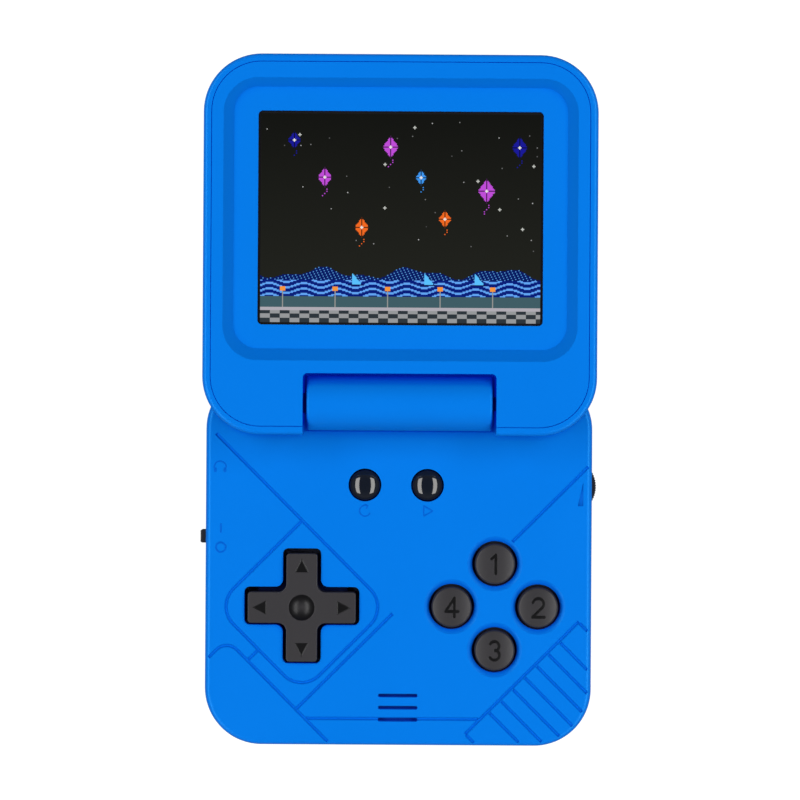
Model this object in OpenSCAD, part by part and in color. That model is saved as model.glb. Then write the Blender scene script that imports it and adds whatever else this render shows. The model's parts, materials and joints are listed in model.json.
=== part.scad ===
// Clamshell handheld game console, lying open flat with its controls and screen up.
// Origin: centre of the base's flat underside. +X right, +Y towards the hinge and the lid, +Z up.
// Every piece is drawn where it sits with the lid open by 180 degrees.

/* [Housing] */
// Width of the base and of the lid
body_w = 85; // [82:0.5:92]
// Depth of the base and of the lid, front to hinge end
body_d = 82; // [80:0.5:90]
// Plan radius of the housing corners
corner_r = 12.5; // [11:0.1:14]
// Height of the base
base_h = 15; // [14.6:0.1:17]
// Thickness of the lid
lid_h = 11.2; // [11:0.1:12.4]
// Side wall of the housings
wall = 1.9; // [1.6:0.1:2.2]
// Face and floor thickness of the housings
skin = 1.8; // [1.6:0.1:2]
// Height of the seam between the base's two shells
seam_z = 8.6; // [8.4:0.1:9]
// Edge round on the faces with controls and screen
face_round = 1.2; // [0.8:0.1:1.4]
// Edge round on the outer faces
back_round = 3; // [2:0.2:3.4]
// Small round along the seam
seam_round = 0.3; // [0.2:0.1:0.4]

/* [Hinge] */
// Distance of the hinge axis from the hinge end of either half
axis_inset = 6.8; // [6.6:0.1:7.2]
// Gap between the halves when shut
shut_gap = 0.4; // [0.3:0.1:0.6]
// Radius of the hinge barrel
barrel_r = 5.9; // [5.7:0.1:6]
// Length of the hinge barrel
barrel_w = 40; // [38:0.1:42]
// Gap between each end of the barrel and the lid
barrel_gap = 0.85; // [0.5:0.05:1]
// Gap between the barrel and the lid's edge in front of it
barrel_clear = 0.56; // [0.4:0.02:0.8]
// Edge round at the ends of the barrel
barrel_round = 0.5; // [0.3:0.1:1.2]
// Depth that the barrel's foot is sunk in the base
barrel_sink = 0.5; // [0.3:0.1:0.8]
// Width of the groove left round that foot
barrel_moat = 0.3; // [0.2:0.05:0.4]
// Gap between the turning ear of the lid and its pocket in the base
sweep_gap = 0.3; // [0.2:0.05:0.5]
// Outer radius of the hollow hinge sleeve
sleeve_r = 2.2; // [2:0.1:2.3]
// Radius of the steel shaft on the other side
shaft_r = 1.5; // [1.3:0.1:1.6]
// Running clearance of every turning fit, on the radius
run_clear = 0.05; // [0.03:0.01:0.08]

/* [Screen] */
// Width of the screen window
screen_w = 61.6; // [58:0.1:62]
// Height of the screen window
screen_d = 46.2; // [44:0.1:47]
// Border between the flat floor of the screen recess and the lid's sides
recess_side = 6.5; // [6:0.1:7.5]
// Border between that floor and the lid's far end
recess_far = 6.95; // [6.5:0.05:8]
// Border between that floor and the notch for the hinge barrel
recess_near = 5.29; // [5:0.01:6.5]
// Corner radius of that floor
recess_r = 5.3; // [4:0.1:6]
// Depth of the screen recess
recess_depth = 2.2; // [2.1:0.05:2.3]
// How much nearer the hinge the recess's rim lies than its floor
recess_shift = 0.45; // [0:0.05:0.6]
// Width of the rim of the rear shell that shows round the bezel
rim_w = 1.7; // [1.5:0.1:1.9]
// Gap between that rim and the bezel
rim_gap = 0.15; // [0.1:0.05:0.3]
// Thickness of the bezel's face
bezel_t = 1.8; // [1.6:0.1:1.9]
// Thickness of the screen lens
lens_t = 1; // [0.8:0.1:1.1]
// Depth of the lens below the floor of the recess
lens_sink = 0.5; // [0.3:0.05:0.6]
// Thickness of the display panel
lcd_t = 2.5; // [2.3:0.1:2.6]

/* [Controls] */
// Distance of the middle of the D-pad and of the action buttons from the side
controls_side = 21.3; // [21:0.1:22]
// Distance of both from the front end
controls_front = 30.6; // [30:0.1:31]
// Overall span of the D-pad
dpad_span = 23.7; // [22:0.1:24]
// Width of a D-pad arm
dpad_arm = 6.8; // [6.4:0.1:7]
// Gap between the D-pad and its hole
dpad_gap = 0.8; // [0.75:0.05:1]
// Height of the D-pad over the face
dpad_proud = 1.2; // [1:0.1:1.3]
// Spread of the action buttons from their middle
action_spread = 9.48; // [9.3:0.01:9.8]
// Radius of an action button
action_r = 4.4; // [4.2:0.1:4.6]
// Gap round an action button
action_gap = 0.6; // [0.4:0.05:0.65]
// Height of an action button over the face
action_proud = 1.6; // [1.3:0.1:1.6]
// Travel of an action button
action_travel = 1.2; // [0.8:0.1:1.3]
// Travel of a small domed button
menu_travel = 0.9; // [0.7:0.1:1.1]
// Radius of a small domed button
menu_r = 3.3; // [3:0.1:3.4]
// Gap round a small domed button
menu_gap = 0.32; // [0.2:0.02:0.4]
// Distance of the small buttons from the hinge end
menu_back = 24.75; // [24:0.05:26]
// Distance between the small buttons
menu_pitch = 13.75; // [12:0.05:15]
// Middle of the pair of small buttons, from the middle line
menu_x = -0.62; // [-1.5:0.01:1.5]
// Depth of the slots and grooves cut in the face
groove_depth = 0.35; // [0.2:0.05:0.5]
// Width of the grooves at the face
groove_w = 0.8; // [0.5:0.05:0.9]

/* [Sides] */
// Distance of the slide switch from the hinge end when on
slider_back = 36.6; // [34:0.1:38]
// Travel of the slide switch
slider_travel = 2; // [1.5:0.1:2.5]
// Length of the slide switch's knob
slider_len = 2.95; // [2.5:0.05:3.2]
// Reach of the knob past the side
slider_proud = 1.8; // [1.2:0.05:2]
// Distance of the headphone socket from the hinge end
jack_back = 20.9; // [20:0.1:22]
// Bore radius of the headphone socket
jack_r = 1.8; // [1.75:0.05:1.85]
// Depth of the headphone socket
jack_depth = 14; // [13:0.5:14.5]
// Radius of the volume wheel
wheel_r = 6.5; // [6:0.1:6.8]
// Distance of the volume wheel's middle from the hinge end
wheel_back = 25.1; // [24:0.1:26.5]
// Reach of the wheel past the side
wheel_proud = 1.45; // [1.2:0.05:1.6]

/* [Inside] */
// Thickness of the circuit board
board_t = 1.2; // [1:0.1:1.2]
// Distance of the battery from the front end
battery_front = 7.5; // [7:0.1:8]
// Length of the battery
battery_d = 53; // [50:0.5:54]
// Width of the battery
battery_w = 34; // [32:0.5:35]
// Thickness of the battery
battery_t = 5.5; // [5:0.1:5.6]
// Thickness of the battery door
door_t = 1.5; // [1.4:0.1:1.6]
// Distance of the speaker's middle from the front end
speaker_front = 10.8; // [10.6:0.1:11.2]
// Radius of the speaker
speaker_r = 8.5; // [8:0.1:8.8]
// Shank radius of the housing screws
screw_r = 1.1; // [1:0.05:1.2]
// Distance of the front housing screws from the sides
front_screw_side = 8; // [7.5:0.1:9]
// Distance of the front housing screws from the front end
front_screw_in = 8.5; // [8:0.1:9]
// Distance of the rear housing screws from the sides
rear_screw_side = 6.5; // [6.2:0.1:7]
// Distance of the rear housing screws from the hinge end
rear_screw_in = 13.5; // [13:0.1:14.5]

/* [Hidden] */
$fn = 64;
over = 1;                 // how far a cutter runs past the face that it cuts
touch = 0.02;             // clearance of a piece fixed in its seat
loose = 0.25;             // clearance round a piece that drops in

blue = "#0a7de6";
charcoal = "#403e40";
glossy_black = "#17161a";
steel = "#b9bcc2";
silicone = "#8f9399";
board_green = "#1d6b3a";

axis_y = body_d/2 - axis_inset;
axis_z = base_h + shut_gap + lid_h/2;
lid_back = base_h + shut_gap;
lid_face = lid_back + lid_h;
lid_mid_y = axis_y - axis_inset + body_d/2;
lid_end_y = lid_mid_y + body_d/2;

notch_w = barrel_w + 2*barrel_gap;
notch_end_y = axis_y + barrel_r + barrel_clear;
notch_start_y = axis_y - axis_inset;
notch_r = 1;
notch_wall = 1.5;
rim_round = 1;            // edge round of the rim that shows round the bezel

ceiling_z = base_h - skin;
lip_t = 0.85;             // tongue of the rear shell that locks into the front shell's wall
lip_h = 0.9;
lip_gap = 0.05;
board_z = seam_z;
board_top = board_z + board_t;

ear_sweep = norm([axis_inset - face_round, lid_h/2 - face_round]) + face_round;
pocket_r = ear_sweep + sweep_gap;
pocket_rim = 3.5;         // housing left beside the pocket's thin end
pocket_x0 = barrel_w/2 + barrel_moat;
pocket_x1 = body_w/2 - corner_r;
pocket_x2 = body_w/2 - pocket_rim;
pocket_drop = pocket_r - (axis_z - base_h);
pocket_arc = ((pocket_x2 - pocket_x1)^2 + pocket_drop^2)/(2*pocket_drop);
pocket_floor = 1.5;

seat_depth = 1.4;
seat_pad = 1.8;
foot_w = barrel_w - 3.3;
foot_d = 7;
foot_screw_x = foot_w/2 - 3;
foot_screw_len = 4.6;
foot_head_t = 1.2;
cable_x = -10;
cable_r = 1.6;
flex_t = 0.3;

ear_pin_len = 7;
pin_in = 6;               // reach of the cam pin's shaft into its cartridge
boss_wall = 1.3;
cartridge_r = 2.7;
cartridge_x0 = 3;
key_r = 2.4;
key_flat = 3.8;

recess_w = body_w - 2*recess_side;
recess_d = lid_end_y - recess_far - notch_end_y - recess_near;
window_y = lid_end_y - recess_far - recess_d/2;
recess_floor = lid_face - recess_depth;
bevel = recess_depth - 0.05;
lens_top = recess_floor - lens_sink;
lens_lap = 1.8;
lens_w = screen_w + 2*lens_lap;
lens_d = screen_d + 2*lens_lap;
lens_corner = 2;
bezel_back = lens_top - lens_t;
well_wall = 1.2;
gasket_t = 0.3;
lcd_side = 3.7;           // rim of the display panel beside its picture
lcd_ends = 4.15;
lcd_w = screen_w + 2*lcd_side;
lcd_d = screen_d + 2*lcd_ends;
lcd_back = bezel_back - gasket_t - lcd_t;
lcd_glass_t = 0.5;
lcd_margin = 1.2;         // glass round the picture
lcd_shift = 1.2;          // the picture sits this far off the panel's middle, away from its tail
ledge_w = 0.9;

controls_x = body_w/2 - controls_side;
controls_y = -body_d/2 + controls_front;
dpad_hole_span = dpad_span + 2*dpad_gap;
dpad_hole_arm = dpad_arm + 2*dpad_gap;
pivot_r = 1.5;
pivot_z = board_top + pivot_r + run_clear;
flange_t = 1;
dpad_flange_r = 10;
dpad_flange_room = 1.2;   // room over the D-pad's flange for its tilt
dpad_flange_z = ceiling_z - dpad_flange_room - flange_t;
dpad_dish_r = 3.6;        // ball that hollows the D-pad's middle
dpad_dish_depth = 1.45;
dpad_sag = 0.3;           // the cross hangs this far in front of the middle of its hole
dpad_y = controls_y - dpad_sag;
dpad_end_r = 0.7;         // corners at the ends of the arms, and between two arms
dpad_inner_r = 1.8;
dpad_top = base_h + dpad_proud;
arrow_end = 1.2;          // from the arm's end to the arrow's tip
arrow_len = 2.8;
arrow_w = 2.9;
arrow_depth = 0.25;
flange_lip = 1.1;
flange_gap = 0.1;
action_hole_r = action_r + action_gap;
action_dish_w = 1.05;     // sunk ring round the hole of an action button
action_dish_h = 0.6;
action_crown = 15;
menu_y = body_d/2 - menu_back;
menu_hole_r = menu_r + menu_gap;
menu_proud = 1.2;
menu_dome_r = 5;
pad_top = ceiling_z - flange_gap - flange_t;
dome_rest = 0.3;          // height of a fully pressed rubber dome
pad_rim = 1.1;            // rubber sheet left round a dome, and its foot inside it

screw_head_r = 2.1;
screw_head_t = 1.6;
screw_len = 9;
screw_seat_z = 3;
post_r = 3;
post_top = seam_z - 1.8;
boss_r = 2.8;
front_screw_x = body_w/2 - front_screw_side;
rear_screw_x = body_w/2 - rear_screw_side;
front_screw_y = -body_d/2 + front_screw_in;
rear_screw_y = body_d/2 - rear_screw_in;
SCREWS = [[-front_screw_x, front_screw_y], [front_screw_x, front_screw_y],
    [-rear_screw_x, rear_screw_y], [rear_screw_x, rear_screw_y]];

battery_y = -body_d/2 + battery_front + battery_d/2;
battery_z = door_t + 0.4;
battery_r = 2;
bay_gap = 0.5;
bay_w = battery_w + 2*bay_gap;
bay_d = battery_d + 2*bay_gap;
bay_top = battery_z + battery_t + 0.5;
bay_wall = 1.2;
door_lap = 1.8;           // ledge that the door rests on beside the battery
door_r = 2.5;
door_w = bay_w + 2*door_lap;
door_y0 = battery_y - bay_d/2 - 2.2;
door_y1 = battery_y + bay_d/2 + 6;
door_y = (door_y0 + door_y1)/2;
door_gap = 0.2;
door_screw_y = door_y1 - 2.9;
ledge_z = door_t + 0.05;
door_head_t = 0.9;
finger_w = 14;
finger_step = 1.6;

jack_y = body_d/2 - jack_back;
jack_z = 5.4;
jack_nose_r = 2.4;
jack_body = [13, 6, 6];
jack_face_x = -body_w/2 + 0.1;

slider_y = body_d/2 - slider_back;
switch_body = [3.6, 8.8, 3.5];
switch_x = -body_w/2 + wall + 0.7;
knob_h = 2.2;
knob_z = 5.7;

wheel_t = 2.2;
wheel_z = 5.3;
wheel_x = body_w/2 + wheel_proud - wheel_r;
wheel_y = body_d/2 - wheel_back;
wheel_room = 0.4;
wheel_teeth = 42;
pot_shaft_r = 1.5;
pot_r = body_w/2 - wall - wheel_x - 0.1;

port_w = 8.9;
port_h = 3.2;
port_len = 7;
port_drop = 0.6;          // shell left between the port's hole and the seam
port_z = board_z - port_drop - port_h/2;
port_wall = 0.3;
port_tongue = 6.6;
port_sink = 0.2;          // its mouth lies this far inside the outline
port_tab = [0.8, 1.2];

speaker_y = -body_d/2 + speaker_front;
speaker_t = 1.4;
speaker_top = ceiling_z - 0.2;
magnet_r = 5.5;
cone_r = 15;              // ball that hollows the speaker's cone
cone_depth = 0.8;
chip_w = 10;
contact_pitch = 4;
slot_front = 5.68;        // first speaker slot, from the front end
slot_step = 2.66;
slot_len = 8.7;
slot_w = 0.8;

// ---------------------------------------------------------------- shared shapes

// Rectangle with round corners, about the origin.
module round_rect(w, d, r) {
    square([w - 2*r, d], center = true);
    square([w, d - 2*r], center = true);
    for (sx = [-1, 1], sy = [-1, 1]) translate([sx*(w/2 - r), sy*(d/2 - r)]) circle(r);
}

// Upright section from the middle plane out to reach, with its low and high outer corners rounded.
module half_section(reach, z0, z1, low, high) {
    translate([0, z0 + low]) square([reach, z1 - z0 - low - high]);
    if (low > 0) {
        translate([0, z0]) square([reach - low, low]);
        translate([reach - low, z0 + low]) circle(low);
    }
    if (high > 0) {
        translate([0, z1 - high]) square([reach - high, high]);
        translate([reach - high, z1 - high]) circle(high);
    }
}

module full_section(width, z0, z1, low, high) {
    half_section(width/2, z0, z1, low, high);
    mirror([1, 0]) half_section(width/2, z0, z1, low, high);
}

// A block with plan corners of radius r and rolled edges: extruded along both sides,
// revolved round the four corners.
module soft_block(w, d, r, z0, z1, low = 0, high = 0) {
    rotate([90, 0, 0]) linear_extrude(d - 2*r, center = true) full_section(w, z0, z1, low, high);
    rotate([90, 0, 90]) linear_extrude(w - 2*r, center = true) full_section(d, z0, z1, low, high);
    for (i = [0:3]) {
        sx = i == 0 || i == 3 ? 1 : -1;
        sy = i < 2 ? 1 : -1;
        translate([sx*(w/2 - r), sy*(d/2 - r), 0])
            rotate([0, 0, 90*i]) rotate_extrude(angle = 90) half_section(r, z0, z1, low, high);
    }
}

module plate(w, d, r, z0, z1) {
    translate([0, 0, z0]) linear_extrude(z1 - z0) round_rect(w, d, r);
}

module box(x0, x1, y0, y1, z0, z1) {
    translate([x0, y0, z0]) cube([x1 - x0, y1 - y0, z1 - z0]);
}

module disc(x, y, r, z0, z1) {
    translate([x, y, z0]) cylinder(r = r, h = z1 - z0);
}

// Cylinder along the hinge axis.
module axle(r, x0, x1) {
    translate([x0, axis_y, axis_z]) rotate([0, 90, 0]) cylinder(r = r, h = x1 - x0);
}

// Plus sign with round ends and filleted inner corners.
module cross(span, arm, end_r, inner_r) {
    round_rect(span, arm, end_r);
    round_rect(arm, span, end_r);
    for (a = [0:90:270]) rotate(a) translate([arm/2, arm/2]) difference() {
        square(inner_r);
        translate([inner_r, inner_r]) circle(inner_r);
    }
}

module screw(shank_r, head_r, head_t, len) {
    difference() {
        union() {
            cylinder(r = head_r, h = head_t);
            cylinder(r = shank_r, h = head_t + len);
        }
        for (a = [0, 90]) rotate(a)
            translate([-head_r*0.6, -0.3, -over]) cube([head_r*1.2, 0.6, over + 0.9]);
    }
}

// Section of a groove: a shallow V with a narrow floor, drawn upright about its middle.
module groove_section() {
    floor_w = groove_w/4;
    polygon([[-floor_w/2, 0], [floor_w/2, 0], [groove_w/2, groove_depth], [groove_w/2, groove_depth + over],
        [-groove_w/2, groove_depth + over], [-groove_w/2, groove_depth]]);
}

// Straight groove in the face of the base, from a to b.
module groove(a, b) {
    run = b - a;
    translate([a[0], a[1], base_h - groove_depth]) rotate([0, 0, atan2(run[1], run[0])])
        rotate([90, 0, 90]) linear_extrude(norm(run)) groove_section();
}

// Quarter turn of the same groove, from the angle start.
module groove_bend(centre, r, start) {
    translate([centre[0], centre[1], base_h - groove_depth]) rotate([0, 0, start])
        rotate_extrude(angle = 90) translate([r, 0]) groove_section();
}

// ---------------------------------------------------------------- ornament on the face of the base

diamond_side = 13.4;      // middle of the diamond to each side
diamond_r = 5.5;          // radius of its round corners
diamond_drop = 0.2;       // its middle lies this far in front of the D-pad's
outer_line = 16.8;        // distance of the line outside it from the same middle
outer_end = 22.4;         // how far the same line runs out to the left
outer_tail = 25;          // and how far down
outer_turn = 6.5;
outer_r = 3.2;
inner_line = 15.1;
top_run = 26.9;           // how far the upper side runs on past the diamond's top corner
edge_inset = 0.9;         // grooves stop this far inside the outline

// The diamond round the D-pad and the lines that run on from it, drawn square and turned by 45 degrees.
module diamond_frame()
    translate([-controls_x, controls_y - diamond_drop, 0]) rotate([0, 0, 45]) children();

module diamond_sides() {
    s = diamond_side;
    c = s - diamond_r;
    diamond_frame() {
        groove([s, -c], [s, s + top_run]);
        groove([-c, s], [s - groove_w/4, s]);
        groove([-c, -s], [c, -s]);
        groove([-s, -c], [-s, c]);
    }
}

module diamond_bends() {
    c = diamond_side - diamond_r;
    diamond_frame() {
        groove_bend([c, -c], diamond_r, -90);
        groove_bend([-c, -c], diamond_r, 180);
        groove_bend([-c, c], diamond_r, 90);
    }
}

module outer_lines() {
    diamond_frame() {
        groove([-outer_end, outer_turn], [-outer_line - outer_r, outer_turn]);
        groove_bend([-outer_line - outer_r, outer_turn - outer_r], outer_r, 0);
        groove([-outer_line, -outer_tail], [-outer_line, outer_turn - outer_r]);
        groove([-outer_line + groove_w/4, -inner_line], [diamond_side - 0.3, -inner_line]);
        groove([-outer_line + groove_w/4, 0], [-diamond_side - groove_w/4, 0]);
    }
}

grip_cut = 30.3;          // the grip's long line takes this much off both sides of the corner
grip_x = body_w/2 + body_d/2 - grip_cut;      // that line is x - y = grip_x
grip_top = 2.8;           // its upper end, from the side
grip_low = 2.65;          // its lower end, from the front end
hatch_gap = 0.7;          // hatching starts this far past the line
hatch_top = 6.8;          // first stroke, from the side
hatch_count = 7;
hatch_step = 2.585;

// How far a line from p runs to the right and down before it meets the housing's outline, less edge_inset.
function run_to_edge(p) =
    let (hx = body_w/2 - edge_inset, hy = body_d/2 - edge_inset, r = corner_r - edge_inset,
        straight = min(hx - p[0], hy + p[1]), q = [p[0] - hx + r, p[1] + hy - r],
        b = q[0] - q[1], under = b^2 - 2*(q[0]^2 + q[1]^2 - r^2),
        bend = under > 0 ? (-b + sqrt(under))/2 : straight,
        end = q + [straight, -straight])
    end[0] > 0 && end[1] < 0 ? bend : straight;

module grip_lines() {
    top = [body_w/2 - grip_top, body_w/2 - grip_top - grip_x];
    low = [grip_x - body_d/2 + grip_low, -body_d/2 + grip_low];
    run = grip_top - edge_inset;
    groove(low, top);
    groove(top + [run, -run - groove_w/4], top + [groove_w/4, -groove_w/2]);
    groove(low + [run, -run], low + [groove_w/4, -groove_w/4]);
}

module grip_hatching() {
    for (i = [0:hatch_count - 1]) {
        x = body_w/2 - hatch_top - i*hatch_step;
        start = [x, x - grip_x - hatch_gap];
        groove(start, start + run_to_edge(start)*[1, -1]);
    }
}

level_in = 5.9;
level_y = -body_d/2 + level_in;
wheel_line_from = [3.8, 14.35];                // its low end, from the middle of the action buttons

// The line along the front, from under the D-pad to the grip.
module level_line() groove([-controls_x + 1.1, level_y], [level_y + grip_x - 0.4, level_y]);

// The slanting line from the action buttons to the side.
module wheel_line() {
    low = [controls_x, controls_y] + wheel_line_from;
    run = body_w/2 - edge_inset - low[0];
    groove(low, low + run*[1, 1]);
}

// ---------------------------------------------------------------- base housing

function action_places() = [for (a = [90, 0, 270, 180])
    [controls_x + action_spread*cos(a), controls_y + action_spread*sin(a)]];
function menu_places() = [for (s = [-1, 1]) [menu_x + s*menu_pitch/2, menu_y]];

// Room that an ear of the lid sweeps: a revolve about the hinge axis that thins out round the corner.
module ear_sweep_half(grow) {
    translate([0, axis_y, axis_z]) rotate([0, 90, 0]) rotate_extrude() {
        translate([0, pocket_x0 - grow]) square([pocket_r + grow, pocket_x1 - pocket_x0 + grow]);
        intersection() {
            translate([pocket_r - pocket_arc, pocket_x1]) circle(pocket_arc + grow);
            translate([0, pocket_x1]) square([pocket_r + grow, body_w/2]);
        }
    }
}

module ear_pockets(grow = 0) {
    ear_sweep_half(grow);
    mirror([1, 0, 0]) ear_sweep_half(grow);
}

module pocket_floors() {
    intersection() {
        ear_pockets(pocket_floor);
        soft_block(body_w - wall, body_d - wall, corner_r - wall/2, seam_z + 0.6, ceiling_z + skin/2);
    }
}

module speaker_slots() {
    for (i = [0:2]) translate([0, -body_d/2 + slot_front + i*slot_step, ceiling_z - over])
        linear_extrude(skin + 2*over) round_rect(slot_len, slot_w, slot_w/2 - 0.001);
}

// Tongue that stands on the rear shell inside the seam, before the shell is hollowed. Grown, it cuts the
// front shell's rebate for it.
module seam_lip(z0, grow) {
    inset = wall - lip_t - grow;
    plate(body_w - 2*inset, body_d - 2*inset, corner_r - inset, z0, seam_z + lip_h + grow);
}

module base_front_shell() color(blue) difference() {
    union() {
        difference() {
            soft_block(body_w, body_d, corner_r, seam_z, base_h, seam_round, face_round);
            soft_block(body_w - 2*wall, body_d - 2*wall, corner_r - wall, seam_z - over, ceiling_z);
            seam_lip(seam_z - over, lip_gap);
        }
        pocket_floors();
        box(-foot_w/2 - 1, foot_w/2 + 1, axis_y - foot_d/2 - 1, body_d/2 - wall/2,
            ceiling_z - seat_pad, ceiling_z + skin/4);
        for (p = SCREWS) disc(p[0], p[1], boss_r, post_top + 0.1, ceiling_z + 0.5);
        difference() {
            disc(0, speaker_y, speaker_r + 1.2, ceiling_z - 2, ceiling_z + 0.5);
            disc(0, speaker_y, speaker_r + loose, ceiling_z - 2 - over, ceiling_z);
        }
    }
    ear_pockets();
    box(-barrel_w/2 - barrel_moat, barrel_w/2 + barrel_moat, axis_y - barrel_r - barrel_moat,
        body_d/2 + over, base_h - barrel_sink, base_h + over);
    box(-foot_w/2 - touch, foot_w/2 + touch, axis_y - foot_d/2 - touch, axis_y + foot_d/2 + touch,
        base_h - seat_depth, base_h + over);
    for (s = [-1, 1])
        disc(s*foot_screw_x, axis_y, screw_r + run_clear, ceiling_z - seat_pad - over, base_h);
    disc(cable_x, axis_y, cable_r, ceiling_z - seat_pad - over, base_h);
    translate([-controls_x, controls_y, ceiling_z - over]) linear_extrude(skin + 2*over)
        cross(dpad_hole_span, dpad_hole_arm, 1.2, 1.6);
    for (p = action_places()) {
        disc(p[0], p[1], action_hole_r, ceiling_z - over, base_h + over);
        translate([p[0], p[1], base_h - action_dish_h])
            cylinder(r1 = action_hole_r, r2 = action_hole_r + action_dish_w, h = action_dish_h);
    }
    for (p = menu_places()) disc(p[0], p[1], menu_hole_r, ceiling_z - over, base_h + over);
    speaker_slots();
    for (p = SCREWS) disc(p[0], p[1], screw_r + run_clear, post_top, screw_seat_z + screw_len + 0.4);
    diamond_sides();
    diamond_bends();
    outer_lines();
    grip_lines();
    grip_hatching();
    level_line();
    wheel_line();
}

// Walls of the battery bay, the ledge round its door and the post of the door's screw, before the bay is cut.
module bay_block() {
    w = door_w/2 + bay_wall;
    box(-w, w, door_y0 - bay_wall, door_y1 + bay_wall, skin/2, ledge_z + bay_wall);
    box(-bay_w/2 - bay_wall, bay_w/2 + bay_wall, battery_y - bay_d/2 - bay_wall,
        battery_y + bay_d/2 + bay_wall, ledge_z, bay_top + 0.6);
    disc(0, door_screw_y, screw_r + 1.3, ledge_z, bay_top);
}

module base_rear_shell() color(blue) difference() {
    union() {
        difference() {
            union() {
                soft_block(body_w, body_d, corner_r, 0, seam_z, back_round, seam_round);
                seam_lip(seam_z - over, 0);
            }
            soft_block(body_w - 2*wall, body_d - 2*wall, corner_r - wall, skin, seam_z + lip_h + over, 1);
        }
        bay_block();
        for (p = SCREWS) disc(p[0], p[1], post_r, skin/2, post_top);
    }
    translate([0, door_y, 0])
        plate(door_w + 2*door_gap, door_y1 - door_y0 + 2*door_gap, door_r, -over, ledge_z);
    box(-bay_w/2, bay_w/2, battery_y - bay_d/2, battery_y + bay_d/2, 0, bay_top);
    disc(0, door_screw_y, screw_r + run_clear, 0, bay_top - 0.6);
    for (p = SCREWS) {
        disc(p[0], p[1], screw_head_r + loose, -over, screw_seat_z);
        disc(p[0], p[1], screw_r + run_clear, 0, post_top + over);
    }
    translate([-body_w/2 - over, jack_y, jack_z]) rotate([0, 90, 0])
        cylinder(r = jack_nose_r + touch, h = wall + 2*over);
    box(-body_w/2 - over, -body_w/2 + wall + over, slider_y - slider_travel - slider_len/2 - loose,
        slider_y + slider_len/2 + loose, knob_z - 0.2, knob_z + knob_h + 0.2);
    wheel_notch();
    port_hole();
}

// Side opening for the wheel, open at the seam: as long as the wheel's chord at the inner wall, plus room.
module wheel_notch() {
    reach = body_w/2 - wall - wheel_x;
    half = sqrt(wheel_r^2 - reach^2) + wheel_room;
    box(body_w/2 - wall - over, body_w/2 + over, wheel_y - half, wheel_y + half,
        wheel_z - wheel_room, seam_z + lip_h + over);
}

module stadium(w, h) {
    square([w - h, h], center = true);
    for (s = [-1, 1]) translate([s*(w - h)/2, 0]) circle(h/2);
}

module port_hole() {
    translate([0, body_d/2 + over, port_z]) rotate([90, 0, 0])
        linear_extrude(wall + 2*over) stadium(port_w + 2*touch, port_h + 2*touch);
}

// Flat door with a countersunk screw at one end and five finger grooves at the other.
module battery_door() color(blue) difference() {
    translate([0, door_y, 0]) plate(door_w, door_y1 - door_y0, door_r - door_gap, 0, door_t);
    disc(0, door_screw_y, screw_r + 0.1, -over, door_t + over);
    disc(0, door_screw_y, screw_head_r + 0.1, -over, door_head_t + 0.1);
    for (i = [0:4]) box(-finger_w/2, finger_w/2, door_y0 + 2.45 + i*finger_step,
        door_y0 + 3.15 + i*finger_step, -over, 0.35);
}

module door_screw() color(steel)
    translate([0, door_screw_y, 0.1])
        screw(screw_r, screw_head_r, door_head_t - 0.1, bay_top - 0.8 - door_head_t);

module base_screws() color(steel)
    for (p = SCREWS) translate([p[0], p[1], screw_seat_z - screw_head_t])
        screw(screw_r, screw_head_r, screw_head_t, screw_len);

// ---------------------------------------------------------------- hinge

// Upper half round, lower half straight down into the base, with a narrower foot that is screwed on.
module hinge_barrel() color(blue) difference() {
    union() {
        translate([0, axis_y, axis_z]) rotate([0, 90, 0]) rotate_extrude() {
            translate([0, -barrel_w/2]) square([barrel_r - barrel_round, barrel_w]);
            translate([0, -barrel_w/2 + barrel_round]) square([barrel_r, barrel_w - 2*barrel_round]);
            for (s = [-1, 1]) translate([barrel_r - barrel_round, s*(barrel_w/2 - barrel_round)])
                circle(barrel_round);
        }
        translate([0, axis_y, 0]) plate(barrel_w, 2*(barrel_r - touch), barrel_round,
            base_h - barrel_sink + touch, axis_z);
        box(-foot_w/2, foot_w/2, axis_y - foot_d/2, axis_y + foot_d/2, base_h - seat_depth, axis_z - 2.5);
    }
    axle(sleeve_r + touch, -barrel_w/2 - over, cable_x + cable_r);
    axle(cartridge_r + touch, cartridge_x0, barrel_w/2 + over);
    disc(cable_x, axis_y, cable_r, base_h - seat_depth - over, axis_z);
    for (s = [-1, 1])
        disc(s*foot_screw_x, axis_y, screw_r + run_clear, base_h - seat_depth - over,
            ceiling_z - seat_pad + foot_screw_len + 0.2);
}

module barrel_screws() color(steel)
    for (s = [-1, 1]) translate([s*foot_screw_x, axis_y, ceiling_z - seat_pad - foot_head_t])
        screw(screw_r, screw_head_r - 0.2, foot_head_t, foot_screw_len);

module hinge_sleeve() color(steel) difference() {
    axle(sleeve_r, -notch_w/2 - ear_pin_len, cable_x - cable_r - 0.6);
    axle(sleeve_r - 0.6, -notch_w/2 - ear_pin_len - over, cable_x);
}

module hinge_cartridge() color(steel) difference() {
    union() {
        axle(cartridge_r, cartridge_x0 + 0.2, barrel_w/2 - 0.2);
        axle(cartridge_r - 0.6, cartridge_x0 + 0.2, barrel_w/2);
    }
    axle(shaft_r + run_clear, barrel_w/2 - pin_in - 0.2, barrel_w/2 + over);
}

module cam_key(grow) intersection() {
    axle(key_r + grow, notch_w/2 + 0.2 - grow, notch_w/2 + ear_pin_len + grow);
    translate([notch_w/2 + ear_pin_len/2, axis_y, axis_z])
        cube([2*ear_pin_len, key_flat + 2*grow, 4*key_r], center = true);
}

module hinge_cam_pin() color(steel) {
    axle(shaft_r, barrel_w/2 - pin_in, notch_w/2 + 0.4);
    cam_key(0);
}

// ---------------------------------------------------------------- lid

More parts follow.
